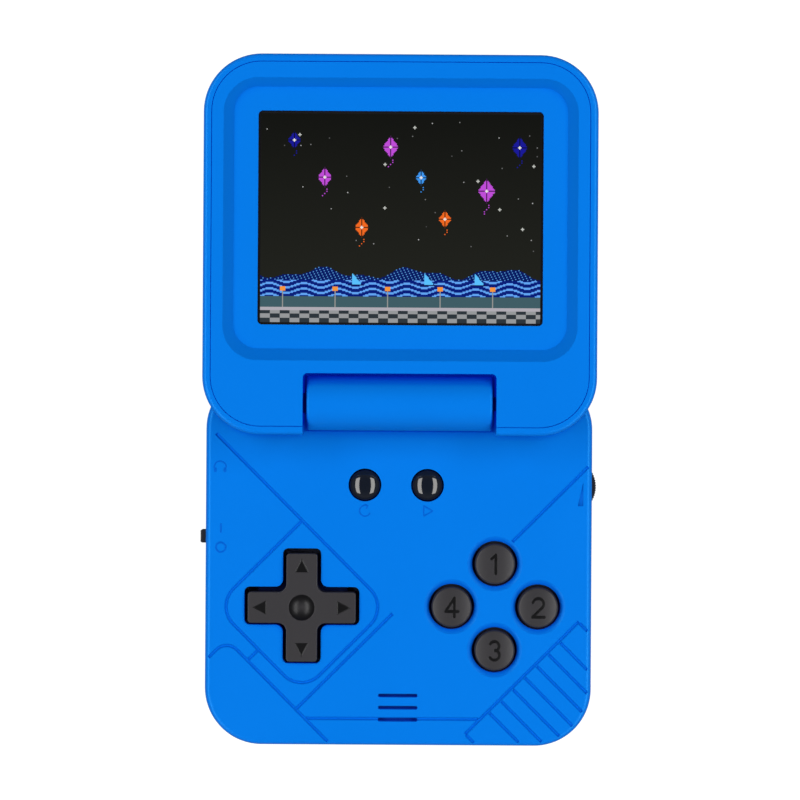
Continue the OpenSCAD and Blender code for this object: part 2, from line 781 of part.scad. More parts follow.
module notch_plan(grow) {
    y1 = notch_end_y + grow;
    y0 = notch_start_y - over;
    w = notch_w + 2*grow;
    translate([-w/2, y0]) square([w, y1 - y0 - notch_r]);
    translate([0, y1 - notch_r]) square([w - 2*notch_r, 2*notch_r], center = true);
    for (s = [-1, 1]) translate([s*(w/2 - notch_r), y1 - notch_r]) circle(notch_r);
}

module notch(z0, z1, grow = 0) {
    translate([0, 0, z0]) linear_extrude(z1 - z0) notch_plan(grow);
}

module lid_plate(inset, z0, z1) {
    translate([0, lid_mid_y, 0]) plate(body_w - 2*inset, body_d - 2*inset, corner_r - inset, z0, z1);
}

module ear_boss(r) {
    x0 = notch_w/2 + notch_wall/2;
    x1 = notch_w/2 + ear_pin_len + 0.6;
    for (s = [-1, 1]) mirror([s < 0 ? 1 : 0, 0, 0]) {
        axle(r, x0, x1);
        box(x0, x1, axis_y - r, axis_y + r, lid_back + skin/2, axis_z);
    }
}

module lid_rear_shell() color(blue) {
    bezel_z = lid_face - bezel_t;
    ledge = rim_w + ledge_w;
    difference() {
        union() {
            difference() {
                translate([0, lid_mid_y, 0])
                    soft_block(body_w, body_d, corner_r, lid_back, lid_face, back_round, rim_round);
                lid_plate(rim_w, bezel_z, lid_face + over);
                difference() {
                    lid_plate(ledge, lid_back + skin, lid_face);
                    notch(lid_back, lid_face + over, notch_wall);
                }
            }
            ear_boss(sleeve_r + boss_wall);
            lcd_ribs();
        }
        notch(lid_back - over, lid_face + over);
        axle(sleeve_r + run_clear, -notch_w/2 - ear_pin_len - over, -notch_w/2 + over);
        cam_key(touch);
        axle(shaft_r + 0.2, notch_w/2 - over, notch_w/2 + 0.4);
    }
}

// Ribs that the display panel rests on.
module lcd_ribs() {
    rib = 1.2;
    for (s = [-1, 0, 1]) {
        y = window_y + s*0.35*lcd_d;
        box(-lcd_w/2, lcd_w/2, y - rib/2, y + rib/2, lid_back + skin/2, lcd_back);
    }
    for (s = [-1, 1]) {
        x = s*0.3*lcd_w;
        box(x - rib/2, x + rib/2, window_y - lcd_d/2, window_y + lcd_d/2, lid_back + skin/2, lcd_back);
    }
}

// The bevelled hollow over the screen: its floor is recess_w by recess_d, its sides lean out by bevel, and
// it slants towards the hinge by recess_shift.
module recess_cut() {
    reach = recess_depth + over;
    lean = bevel*reach/recess_depth;
    slant = [[1, 0, 0, 0], [0, 1, -recess_shift/recess_depth, 0], [0, 0, 1, 0]];
    module slab(half) polygon([[-half, 0], [half, 0], [half + lean, reach], [-half - lean, reach]]);
    translate([0, window_y, recess_floor]) multmatrix(slant) {
        rotate([90, 0, 0]) linear_extrude(recess_d - 2*recess_r, center = true) slab(recess_w/2);
        rotate([90, 0, 90]) linear_extrude(recess_w - 2*recess_r, center = true) slab(recess_d/2);
        for (sx = [-1, 1], sy = [-1, 1])
            translate([sx*(recess_w/2 - recess_r), sy*(recess_d/2 - recess_r), 0])
                cylinder(r1 = recess_r, r2 = recess_r + lean, h = reach);
    }
}

module lid_front_bezel() color(blue) {
    well_w = recess_w + 2*bevel + 2*well_wall;
    well_d = recess_d + 2*bevel + 2*well_wall;
    difference() {
        union() {
            lid_plate(rim_w + rim_gap, lid_face - bezel_t, lid_face);
            translate([0, window_y, 0])
                plate(well_w, well_d, recess_r + bevel + well_wall, bezel_back, lid_face - bezel_t/2);
        }
        notch(lid_back, lid_face + over);
        recess_cut();
        translate([0, window_y, 0]) {
            plate(screen_w, screen_d, 1, bezel_back - over, recess_floor + over);
            plate(lens_w + 2*touch, lens_d + 2*touch, lens_corner, bezel_back - over, lens_top);
        }
    }
}

module screen_lens() color("#191714") translate([0, window_y, 0])
    plate(lens_w, lens_d, lens_corner, bezel_back, lens_top);

module lcd_gasket() color("#202022") translate([0, window_y, 0]) difference() {
    plate(lcd_w, lcd_d, 1, bezel_back - gasket_t, bezel_back);
    plate(screen_w + 1, screen_d + 1, 1, bezel_back - gasket_t - over, bezel_back + over);
}

module lcd_panel() color("#2b2b30") translate([0, window_y, 0]) {
    plate(lcd_w, lcd_d, 0.6, lcd_back, lcd_back + lcd_t - lcd_glass_t);
    translate([0, lcd_shift, 0]) plate(screen_w + 2*lcd_margin, screen_d + 2*lcd_margin, 0.6,
        lcd_back + lcd_t - lcd_glass_t - 0.1, lcd_back + lcd_t);
}

// Flat cable: from a wide tail at the display's lower edge to the hinge, rolled up through the sleeve,
// then down to the board.
module display_flex() color("#b5792c") {
    roll_r = sleeve_r - 0.9;
    strip_w = 2;
    tail_w = 5.5;
    tail_d = 1.5;
    x0 = -notch_w/2 - ear_pin_len - 1.2;
    panel_y = window_y - lcd_d/2;
    difference() {
        axle(roll_r, x0, cable_x + 1);
        axle(roll_r - flex_t, x0 - over, cable_x + 1 + over);
    }
    box(x0 - strip_w, x0 + flex_t, axis_y - strip_w/2, panel_y - tail_d, axis_z - flex_t/2,
        axis_z + flex_t/2);
    box(x0 - tail_w, x0 + flex_t, panel_y - tail_d - flex_t, panel_y - flex_t, axis_z - flex_t/2,
        axis_z + flex_t/2);
    box(cable_x - cable_r/2, cable_x + cable_r/2, axis_y - flex_t/2, axis_y + flex_t/2,
        board_top + 0.05, axis_z - roll_r + flex_t/2);
}

// ---------------------------------------------------------------- controls

module dpad_cross() color(charcoal) difference() {
    union() {
        translate([-controls_x, dpad_y, dpad_flange_z])
            linear_extrude(dpad_top - dpad_flange_z) cross(dpad_span, dpad_arm, dpad_end_r, dpad_inner_r);
        disc(-controls_x, controls_y, dpad_flange_r, dpad_flange_z, dpad_flange_z + flange_t);
    }
    translate([-controls_x, controls_y, pivot_z]) sphere(r = pivot_r + run_clear);
    translate([-controls_x, dpad_y, dpad_top + dpad_dish_r - dpad_dish_depth]) sphere(r = dpad_dish_r);
    for (a = [0:90:270]) translate([-controls_x, dpad_y, dpad_top - arrow_depth]) rotate([0, 0, a])
        linear_extrude(arrow_depth + over) arrow_head();
}

// Arrow head sunk near the end of each arm of the D-pad, pointing out.
module arrow_head() {
    tip = dpad_span/2 - arrow_end;
    polygon([[tip, 0], [tip - arrow_len, arrow_w/2], [tip - arrow_len, -arrow_w/2]]);
}

module dpad_pivot() color(steel) translate([-controls_x, controls_y, pivot_z]) sphere(r = pivot_r);

// Outline of half a button: retaining flange, straight side, rolled edge and a gently domed top.
module button_profile(r, proud, crown) {
    top = base_h + proud;
    edge = 0.6;
    translate([0, pad_top]) square([r + flange_lip, flange_t]);
    intersection() {
        union() {
            translate([0, pad_top]) square([r, top - edge - pad_top]);
            translate([0, pad_top]) square([r - edge, top - pad_top]);
            translate([r - edge, top - edge]) circle(edge);
        }
        translate([0, top - crown]) circle(crown);
    }
}

module action_button(i) color(charcoal) {
    p = action_places()[i];
    translate([p[0], p[1], 0]) rotate_extrude() intersection() {
        button_profile(action_r, action_proud, action_crown);
        square([2*action_r, 3*base_h]);
    }
}

module menu_button(i) color(glossy_black) {
    p = menu_places()[i];
    top = base_h + menu_proud;
    translate([p[0], p[1], 0]) rotate_extrude() {
        translate([0, pad_top]) square([menu_r + flange_lip, flange_t]);
        intersection() {
            translate([0, pad_top]) square([menu_r, top - pad_top]);
            translate([0, top - menu_dome_r]) circle(menu_dome_r);
        }
    }
}

module rubber_dome(x, y, r, z0, z1) translate([x, y, z0]) difference() {
    cylinder(r1 = r, r2 = r*0.7, h = z1 - z0);
    translate([0, 0, -over]) cylinder(r1 = r*0.75, r2 = r*0.4, h = z1 - z0);
}

// Each dome stands as high over its sheet as its button travels, plus the height that it keeps when pressed.
module action_membrane() color(silicone) {
    sheet_top = pad_top - action_travel - dome_rest;
    dome_r = action_r - 0.5;
    difference() {
        union() {
            disc(controls_x, controls_y, action_spread, board_top, sheet_top);
            for (p = action_places()) disc(p[0], p[1], dome_r + pad_rim, board_top, sheet_top);
        }
        for (p = action_places()) disc(p[0], p[1], dome_r - pad_rim, board_top - over, sheet_top + over);
    }
    for (p = action_places()) rubber_dome(p[0], p[1], dome_r, sheet_top, pad_top);
}

module menu_membrane() color(silicone) {
    sheet_top = pad_top - menu_travel - dome_rest;
    dome_r = menu_r - 0.1;
    side = 2*(dome_r + pad_rim);
    difference() {
        translate([menu_x, menu_y, 0]) plate(menu_pitch + side, side, dome_r, board_top, sheet_top);
        for (p = menu_places()) disc(p[0], p[1], dome_r - pad_rim, board_top - over, sheet_top + over);
    }
    for (p = menu_places()) rubber_dome(p[0], p[1], dome_r, sheet_top, pad_top);
}

// Four domes under the arms round an open middle for the pivot.
module dpad_membrane() color(silicone) translate([-controls_x, controls_y, 0]) {
    sheet_top = board_top + 0.5;
    dome_x = 0.7*dpad_flange_r;
    dome_r = 0.24*dpad_flange_r;
    difference() {
        disc(0, 0, dome_x + dome_r + pad_rim, board_top, sheet_top);
        disc(0, 0, pivot_r + 1, board_top - over, sheet_top + over);
        for (a = [0:90:270]) rotate(a) disc(dome_x, 0, dome_r - 0.8, board_top - over, sheet_top + over);
    }
    for (a = [0:90:270]) rotate(a) rubber_dome(dome_x, 0, dome_r, sheet_top, dpad_flange_z);
}

// Knob with two upright finger grooves, running in through the side to the switch.
module power_slider() color("#2e303d") {
    x0 = -body_w/2 - slider_proud;
    x1 = switch_x + 1.6;
    difference() {
        translate([(x0 + x1)/2, slider_y, 0]) plate(x1 - x0, slider_len, 0.6, knob_z, knob_z + knob_h);
        for (s = [-1, 1]) translate([x0 - 0.1, slider_y + s*slider_len/7, knob_z - over])
            cylinder(r = 0.32, h = knob_h + 2*over);
    }
}

module power_switch() color(steel) difference() {
    box(switch_x, switch_x + switch_body[0], slider_y - slider_travel/2 - switch_body[1]/2,
        slider_y - slider_travel/2 + switch_body[1]/2, board_z - switch_body[2], board_z);
    box(switch_x - over, switch_x + 2, slider_y - slider_travel - slider_len/2 - loose,
        slider_y + slider_len/2 + loose, knob_z - 0.15, knob_z + knob_h + 0.15);
}

module volume_wheel() color(glossy_black) translate([wheel_x, wheel_y, wheel_z]) difference() {
    cylinder(r = wheel_r, h = wheel_t);
    translate([0, 0, -over]) cylinder(r = pot_shaft_r + run_clear, h = wheel_t + 2*over);
    for (i = [0:wheel_teeth - 1]) rotate(360/wheel_teeth*i) translate([wheel_r + 0.25, 0, -over])
        cylinder(r = 0.45, h = wheel_t + 2*over, $fn = 24);
}

module volume_pot() color(steel) translate([wheel_x, wheel_y, 0]) {
    translate([0, 0, wheel_z + wheel_t + 0.1]) cylinder(r = pot_r, h = board_z - wheel_z - wheel_t - 0.1);
    translate([0, 0, wheel_z - 0.1]) cylinder(r = pot_shaft_r, h = wheel_t + 0.3);
    translate([0, 0, wheel_z - 0.5]) cylinder(r = pot_shaft_r + 0.8, h = 0.4);
}

// ---------------------------------------------------------------- electrics

module headphone_jack() color(glossy_black) difference() {
    union() {
        box(-body_w/2 + wall + 0.2, -body_w/2 + wall + 0.2 + jack_body[0], jack_y - jack_body[1]/2,
            jack_y + jack_body[1]/2, board_z - jack_body[2], board_z);
        translate([jack_face_x, jack_y, jack_z]) rotate([0, 90, 0]) cylinder(r = jack_nose_r, h = wall + 1);
    }
    translate([jack_face_x - over, jack_y, jack_z]) rotate([0, 90, 0])
        cylinder(r = jack_r, h = jack_depth + over);
}

module charge_port() color(steel) translate([0, body_d/2 - port_sink, port_z]) rotate([90, 0, 0]) {
    difference() {
        linear_extrude(port_len) stadium(port_w, port_h);
        translate([0, 0, -over]) linear_extrude(port_len - 0.6 + over)
            stadium(port_w - 2*port_wall, port_h - 2*port_wall);
    }
    translate([-port_tongue/2, -0.35, 1]) cube([port_tongue, 0.7, port_len - 1.2]);
    for (s = [-1, 1], z = [wall - port_sink + 0.4, port_len - port_tab[1] - 0.6])
        translate([s*(port_w - port_h)/2 - port_tab[0]/2, port_h/2 - 0.1, z])
            cube([port_tab[0], port_drop + 0.1, port_tab[1]]);
}

module main_board() color(board_green) {
    difference() {
        plate(body_w - 2*wall - 1.2, body_d - 2*wall - 1.2, corner_r - wall - 0.6, board_z, board_top);
        for (p = SCREWS) disc(p[0], p[1], post_r + 0.3, board_z - over, board_top + over);
    }
    box(-chip_w/2, chip_w/2, -chip_w/2, chip_w/2, board_top - 0.1, board_top + 1);
    box(cable_x - 3, cable_x + 3, axis_y - 3.4, axis_y - 0.5, board_top - 0.1, board_top + 0.9);
}

module speaker() color("#3a3a3e") translate([0, speaker_y, 0]) difference() {
    union() {
        disc(0, 0, speaker_r, speaker_top - speaker_t, speaker_top);
        disc(0, 0, magnet_r, board_top + 0.1, speaker_top - speaker_t + 0.1);
    }
    translate([0, 0, speaker_top + cone_r - cone_depth]) sphere(r = cone_r);
}

module battery() color("#9aa3ad") translate([0, battery_y, 0])
    plate(battery_w, battery_d, battery_r, battery_z, battery_z + battery_t);

// Three leaf springs in the gap between the battery's end and its bay.
module battery_contacts() color("#c9a54a")
    for (i = [-1:1]) box(i*contact_pitch - 1, i*contact_pitch + 1, battery_y + battery_d/2 + touch,
        battery_y + bay_d/2 - touch, battery_z + 1, battery_z + battery_t - 0.9);

base_front_shell();
base_rear_shell();
battery_door();
door_screw();
base_screws();
hinge_barrel();
barrel_screws();
hinge_sleeve();
hinge_cartridge();
hinge_cam_pin();
lid_rear_shell();
lid_front_bezel();
screen_lens();
lcd_gasket();
lcd_panel();
display_flex();
dpad_cross();
dpad_pivot();
action_button(0);  // action_button_top
action_button(1);  // action_button_right
action_button(2);  // action_button_bottom
action_button(3);  // action_button_left
menu_button(0);  // menu_button_left
menu_button(1);  // menu_button_right
action_membrane();
menu_membrane();
dpad_membrane();
power_slider();
power_switch();
volume_wheel();
volume_pot();
headphone_jack();
charge_port();
main_board();
speaker();
battery();
battery_contacts();
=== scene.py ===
# %% [markdown]
# # A clamshell game console in satin plastic
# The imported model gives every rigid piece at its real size, with the lid open flat. This lesson adds what
# the eye meets: moulded buttons with sunk numerals, a lit screen, small signs, and a finish for every
# surface. All lengths are metres in the frame of the model: +X right, +Y towards the lid, +Z up.

# %% Load the model and keep its box
import json
import math

import bpy
import numpy as np
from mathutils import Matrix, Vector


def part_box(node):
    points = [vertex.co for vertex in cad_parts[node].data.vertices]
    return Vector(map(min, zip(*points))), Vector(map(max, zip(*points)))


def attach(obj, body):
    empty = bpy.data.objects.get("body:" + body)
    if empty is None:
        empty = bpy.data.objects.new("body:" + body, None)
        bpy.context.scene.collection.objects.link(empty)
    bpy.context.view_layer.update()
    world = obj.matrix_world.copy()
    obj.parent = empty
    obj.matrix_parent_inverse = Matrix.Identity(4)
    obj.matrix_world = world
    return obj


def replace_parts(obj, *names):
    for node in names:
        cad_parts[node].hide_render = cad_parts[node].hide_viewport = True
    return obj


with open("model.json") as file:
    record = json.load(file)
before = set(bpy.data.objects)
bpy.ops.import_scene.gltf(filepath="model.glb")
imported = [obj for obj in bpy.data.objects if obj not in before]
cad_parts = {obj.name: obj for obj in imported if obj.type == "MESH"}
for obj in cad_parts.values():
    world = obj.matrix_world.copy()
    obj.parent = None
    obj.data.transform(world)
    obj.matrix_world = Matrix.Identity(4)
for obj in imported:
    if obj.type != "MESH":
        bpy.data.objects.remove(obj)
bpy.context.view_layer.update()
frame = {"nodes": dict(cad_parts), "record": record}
MM = 0.001

# %% [markdown]
# ## Where things are
# A place is never typed twice. The middles of the buttons, the height of the face and the reach of the
# screen are read from the boxes of the nodes, so a piece stays on its seat when the model changes.


# %% Places worked out from the nodes
def node_box(name):
    """Lowest and highest corner of a node, as two arrays."""
    low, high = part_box(name)
    return np.array(low), np.array(high)


def middle(name):
    """Middle of a node's box: half the sum of its two corners."""
    low, high = node_box(name)
    return (low + high) / 2


base_low, base_high = node_box("base_front_shell")
face_z = base_high[2]
print("face of the base at z =", round(face_z / MM, 2), "mm")

# %% [markdown]
# ## Camera
# The picture was taken from straight above with a long lens: the lid, which stands 11.6 mm higher than the
# face of the base, is drawn only 2 % larger. That ratio gives the height of the camera, and the width of the
# housing in the picture gives the lens. The camera is turned by a third of a degree about its own axis.

# %% Camera
camera_height = 0.525
camera_aim = (0.1 * MM, 34.98 * MM)
camera_turn = math.radians(0.35)
lens_mm = 104.4

camera_data = bpy.data.cameras.new("camera")
camera_data.lens = lens_mm
camera_data.sensor_width = 36.0
camera_data.clip_start = 0.01
camera = bpy.data.objects.new("camera", camera_data)
camera.location = (*camera_aim, camera_height)
camera.rotation_euler = (0.0, 0.0, camera_turn)
bpy.context.scene.collection.objects.link(camera)
bpy.context.scene.camera = camera
print("camera", round(camera_height / MM), "mm up, lens", lens_mm, "mm")


# %% [markdown]
# ## Colours
# A colour is written as it looks on a screen, from 0 to 255, and turned to the linear values that a shader
# works with.


# %% Screen colour to linear
def linear(red, green, blue):
    """sRGB from 0 to 255 to linear RGBA: c/12.92 below 0.04045, else ((c + 0.055)/1.055)^2.4."""
    c = np.array([red, green, blue], float) / 255
    low = c / 12.92
    high = ((c + 0.055) / 1.055) ** 2.4
    return (*np.where(c <= 0.04045, low, high).tolist(), 1.0)


bpy.context.scene.view_settings.view_transform = "Standard"
print("blue of the housing, linear:", [round(v, 3) for v in linear(5, 125, 231)])


# %% [markdown]
# ## Materials
# Every finish is the standard surface shader with a few nodes before it. Small helpers keep the rest short:
# they find the shader, make a material and set its plain sockets, turn a value into another range, and mix
# two colours.


# %% Helpers for shader nodes
def shader_of(material):
    """The standard surface shader of a material."""
    return material.node_tree.nodes["Principled BSDF"]


def new_material(name, **sockets):
    """A material with the standard shader. A socket is named with _ for each space in its name."""
    material = bpy.data.materials.new(name)
    material.use_nodes = True
    for socket, value in sockets.items():
        shader_of(material).inputs[socket.replace("_", " ")].default_value = value
    return material


def in_range(material, value, start, end, low=0.0, high=1.0):
    """Goes evenly from low to high as the socket value goes from start to end, and stays there past them."""
    node = material.node_tree.nodes.new("ShaderNodeMapRange")
    for socket, number in (("From Min", start), ("From Max", end), ("To Min", low), ("To Max", high)):
        node.inputs[socket].default_value = number
    material.node_tree.links.new(value, node.inputs["Value"])
    return node.outputs["Result"]


def mixed(material, share, first, second):
    """first * (1 - share) + second * share, where either may be a colour or a socket that gives one."""
    node = material.node_tree.nodes.new("ShaderNodeMix")
    node.data_type = "RGBA"
    material.node_tree.links.new(share, node.inputs["Factor"])
    for socket, colour in (("A", first), ("B", second)):
        if isinstance(colour, tuple):
            node.inputs[socket].default_value = colour
        else:
            material.node_tree.links.new(colour, node.inputs[socket])
    return node.outputs["Result"]


# %% [markdown]
# ### Painted shade in creases
# Narrow grooves, seams and gaps get painted shade: their colour is darkened towards a deeper, purer blue,
# and the bottom of a gap gets a painted blue glow. The ambient occlusion node gives 1 where the surroundings
# within a short reach are open and 0 where they are blocked. As it falls, the base colour moves towards the
# crease colour, which is painted shade, and where nearly all is blocked the surface gives off a painted trace
# of blue light.

# %% Paint shade into creases
crease_reach = 3.0 * MM
# Painted shade comes in as the occlusion falls from the first to the second of these; the painted glow
# follows the next pair.
shade_starts, shade_full = 0.89, 0.64
glow_starts, glow_full = 0.6, 0.1
painted_glow, painted_glow_blue = 0.4, (0.0, 0.012, 0.42, 1.0)
occlusion_rays = 12


def paint_crease_shade(material, colour, crease_shade):
    """Painted shade and glow: the base colour goes from colour to the crease shade by how much is blocked."""
    links, shader = material.node_tree.links, shader_of(material)
    open_share = material.node_tree.nodes.new("ShaderNodeAmbientOcclusion")
    open_share.inputs["Distance"].default_value = crease_reach
    open_share.samples = occlusion_rays

    tint = in_range(material, open_share.outputs["AO"], shade_starts, shade_full)
    links.new(mixed(material, tint, colour, crease_shade), shader.inputs["Base Color"])
    glow = in_range(material, open_share.outputs["AO"], glow_starts, glow_full, high=painted_glow)
    shader.inputs["Emission Color"].default_value = painted_glow_blue
    links.new(glow, shader.inputs["Emission Strength"])


print("creases are looked for within", crease_reach / MM, "mm")

# %% [markdown]
# ### Grain
# Moulded plastic is one colour all through. What makes it look real is its surface: a fine grain from the
# mould, which scatters highlights, and slow changes in how rough it is where fingers have been. So each
# finish has two noises on object coordinates, a fine one for relief and a broad one for roughness and tint.
# Object coordinates are metres, so the grain has its real size on every piece.

# %% A grained finish
broad_scale = 45.0


def noise(material, vector, scale, detail):
    """A noise with scale features to the metre and that many finer layers on top."""
    node = material.node_tree.nodes.new("ShaderNodeTexNoise")
    node.inputs["Scale"].default_value = scale
    node.inputs["Detail"].default_value = detail
    material.node_tree.links.new(vector, node.inputs["Vector"])
    return node.outputs["Fac"]


def grained(name, colour, rough, grain_mm, relief_mm, tint=0.04, rough_spread=0.05, crease_shade=None, **sockets):
    """A finish whose base colour and roughness wander by tint and rough_spread, with relief of that grain."""
    material = new_material(name, **sockets)
    nodes, links, shader = material.node_tree.nodes, material.node_tree.links, shader_of(material)
    place = nodes.new("ShaderNodeTexCoord").outputs["Object"]

    broad = noise(material, place, broad_scale, 3.0)
    wander = in_range(material, broad, 0.0, 1.0, rough - rough_spread, rough + rough_spread)
    links.new(wander, shader.inputs["Roughness"])
    darker, lighter = ((*[c * share for c in colour[:3]], 1.0) for share in (1 - tint, 1 + tint))
    paint = mixed(material, broad, darker, lighter)
    links.new(paint, shader.inputs["Base Color"])
    # Where a crease colour is given, shade is painted into the creases.
    if crease_shade:
        paint_crease_shade(material, paint, crease_shade)

    bump = nodes.new("ShaderNodeBump")
    bump.inputs["Distance"].default_value = relief_mm * MM
    links.new(noise(material, place, 1 / (grain_mm * MM), 2.0), bump.inputs["Height"])
    links.new(bump.outputs["Normal"], shader.inputs["Normal"])
    return material


print("broad noise: a feature every", round(1 / broad_scale / MM), "mm")

# %% [markdown]
# ### Painted shade in sunk marks
# Numerals and arrows are sunk, and the shade in them is painted. Each mesh carries the depth of its marks as
# a number on every point, and the shader darkens the cap by it: painted shade. A point attribute goes
# wherever the mesh goes, so the painted shade can't slide off its groove.


# %% Paint shade into a finish by a point attribute
def shade_recesses(material, ink):
    """Paints shade: mixes the base colour towards the shade colour where the mesh's point attribute says so.
    """
    base = shader_of(material).inputs["Base Color"]
    shade_amount = material.node_tree.nodes.new("ShaderNodeAttribute")
    shade_amount.attribute_name = "ink"
    shaded = mixed(material, shade_amount.outputs["Fac"], base.links[0].from_socket, ink)
    material.node_tree.links.new(shaded, base)
    return material


# %% Finishes of the plastics
blue_gloss = (0.06, 0.55, 1.0, 1.0)
warm_gloss = (1.0, 0.97, 0.92, 1.0)
# The crease colour of the blue plastic is painted shade for its grooves, seams and gaps.
blue_plastic = grained("satin_blue_plastic", linear(2, 85, 165), 0.32, 0.16, 0.004, tint=0.02,
                       crease_shade=linear(0, 71, 164), Specular_IOR_Level=0.3, Specular_Tint=blue_gloss)
sunk_blue = grained("sunk_blue_plastic", linear(0, 66, 150), 0.5, 0.16, 0.004, tint=0.02,
                    Specular_IOR_Level=0.2, Specular_Tint=blue_gloss)
# The near-black second colour is the painted shade of the sunk numerals and arrows and of the dish.
cap_charcoal = shade_recesses(grained("satin_charcoal_plastic", linear(38, 37, 39), 0.36, 0.12, 0.003, tint=0.03,
                             Specular_IOR_Level=0.13), linear(5, 5, 6))
# Painted shade: the navy stands in for the dark gap round the D-pad and the blue light its walls throw in.
flange_shade = grained("flange_shade", linear(2, 14, 52), 0.7, 0.12, 0.003, Specular_IOR_Level=0.05)
gloss_black = grained("gloss_black_plastic", linear(11, 15, 23), 0.06, 0.3, 0.0004, rough_spread=0.01,
                      Specular_IOR_Level=0.36, Specular_Tint=warm_gloss)
knob_plastic = grained("satin_knob_plastic", linear(22, 23, 30), 0.3, 0.12, 0.003, Specular_IOR_Level=0.3)
wheel_plastic = grained("satin_wheel_plastic", linear(6, 11, 24), 0.35, 0.12, 0.003, Specular_IOR_Level=0.15)
print("plastics:", ", ".join(finish.name for finish in (blue_plastic, sunk_blue, cap_charcoal, flange_shade,
                                                        gloss_black, knob_plastic, wheel_plastic)))

# %% [markdown]
# ### Metals, rubber and the rest
# Most of these show only through a slot or when a joint moves, but each still gets its own finish: plated
# steel and brass, grey silicone, the blue-black mask of the board, and the amber film of the flat cable.
# What shows through the speaker slots and in the narrow gaps beside the barrel looks navy, because all the
# light there comes off blue walls. So the speaker and the two hinge pins get a navy finish that is painted
# light and shade: it stands in for the blue light and the shade in those gaps.

# %% Finishes of the inner pieces
plated_steel = grained("plated_steel", linear(186, 188, 194), 0.28, 0.5, 0.001, Metallic=1.0)
plated_brass = grained("plated_brass", linear(214, 176, 92), 0.25, 0.5, 0.001, Metallic=1.0)
silicone_rubber = grained("silicone_rubber", linear(142, 147, 153), 0.55, 0.3, 0.003)
board_mask = grained("board_mask", linear(8, 22, 44), 0.45, 0.8, 0.004)
# Painted light and shade: navy for the parts seen only in the blue-lit gaps and slots.
navy_pin = grained("navy_pin", linear(1, 26, 110), 0.5, 0.3, 0.001, Specular_IOR_Level=0.15)
navy_cone = grained("navy_cone", linear(3, 50, 140), 0.6, 0.4, 0.01, Specular_IOR_Level=0.05)
foil_cell = grained("foil_cell", linear(150, 158, 168), 0.35, 1.2, 0.01, Metallic=0.6)
amber_film = grained("amber_film", linear(176, 112, 34), 0.25, 0.6, 0.001)
foam_black = grained("foam_black", linear(26, 26, 28), 0.8, 0.2, 0.02)
panel_dark = grained("panel_dark", linear(40, 40, 46), 0.3, 0.6, 0.001)

FINISHES = {
    "blue_plastic": blue_plastic, "charcoal_plastic": cap_charcoal, "black_gloss": gloss_black,
    "slider_plastic": knob_plastic, "screen_glass": panel_dark, "display_panel": panel_dark,
    "foam_black": foam_black, "flex_film": amber_film, "silicone": silicone_rubber,
    "steel": plated_steel, "brass": plated_brass, "circuit_board": board_mask,
    "speaker_metal": navy_cone, "battery_cell": foil_cell,
}


def dress(name, finish):
    """Puts one finish in every material slot of a node."""
    for place in frame["nodes"][name].material_slots:
        place.material = finish


for row in frame["record"]["subparts"]:
    dress(row["node"], FINISHES[row["material_slot"]])
# The hinge pins get the navy that paints the shade and blue light of the gaps beside the barrel.
for pin in ("hinge_sleeve", "hinge_cam_pin"):
    dress(pin, navy_pin)


# %% [markdown]
# ## Caps as stacks of rings
# A button, a D-pad and a slide knob are all the same kind of shape: a closed outline that rises, rolls over
# an edge and closes in the middle. So one function makes them all. It takes the outline and a list of
# stations, each of which says how far in the ring lies, how much it is drawn towards the middle, and how
# high it is. Rings that are drawn in fully meet in one point, which closes the shape.


# %% Rings to a grid of points and faces
def outward_normals(outline):
    """Unit normals of a closed outline that runs anticlockwise: the tangent turned by -90 degrees."""
    tangent = np.roll(outline, -1, 0) - np.roll(outline, 1, 0)
    tangent /= np.linalg.norm(tangent, axis=1)[:, None]
    return np.stack([tangent[:, 1], -tangent[:, 0]], 1)


def ring_stack(outline, stations):
    """Points (ring, around, 3): outline moved in by inset along its normals, scaled by share, at height z."""
    inset, share, z = np.array(stations, float).T
    normals = outward_normals(outline)
    flat = (outline[None] - inset[:, None, None] * normals[None]) * share[:, None, None]
    high = np.broadcast_to(z[:, None, None], (*flat.shape[:2], 1))
    return np.concatenate([flat, high], 2)


def slab_stations(low, high, bevel=None):
    """Stations of a flat slab: closed below, straight up, a flat bevel where one is given, closed above."""
    rim = [(0, 1, high - bevel), (bevel, 1, high)] if bevel else [(0, 1, high)]
    return [(0, 0.0, low), (0, 1, low), *rim, (0, 0.0, high)]


def grid_faces(rows, columns, first=0):
    """Quads of a grid that is closed around: each joins two rings and two neighbours."""
    start = np.arange(rows - 1)[:, None] * columns
    here = np.arange(columns)[None]
    beside = (here + 1) % columns
    quads = np.stack([start + here, start + beside, start + columns + beside, start + columns + here], -1)
    return quads.reshape(-1, 4) + first


print("faces of a grid of 3 rings of 8 points:", len(grid_faces(3, 8)))

# %% [markdown]
# A ring that has shrunk to a point is still many points in one place. They are merged, the slivers between
# them go, and then all faces are turned to point out, so the shell is closed and a light falls on its
# outside.

# %% Close, smooth and place a mesh
import bmesh

merge_distance = 2e-7


def close_mesh(mesh):
    """Merges doubled points, which drops faces without area, and turns the faces out."""
    work = bmesh.new()
    work.from_mesh(mesh)
    bmesh.ops.remove_doubles(work, verts=work.verts, dist=merge_distance)
    bmesh.ops.recalc_face_normals(work, faces=work.faces)
    work.to_mesh(mesh)
    work.free()
    mesh.polygons.foreach_set("use_smooth", np.ones(len(mesh.polygons), bool))
    mesh.update()


def place_piece(name, mesh, body, finish):
    """Makes the object at the origin, gives it its finish and lets it ride on its body."""
    piece = bpy.data.objects.new(name, mesh)
    bpy.context.scene.collection.objects.link(piece)
    mesh.materials.append(finish)
    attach(piece, body)
    return piece


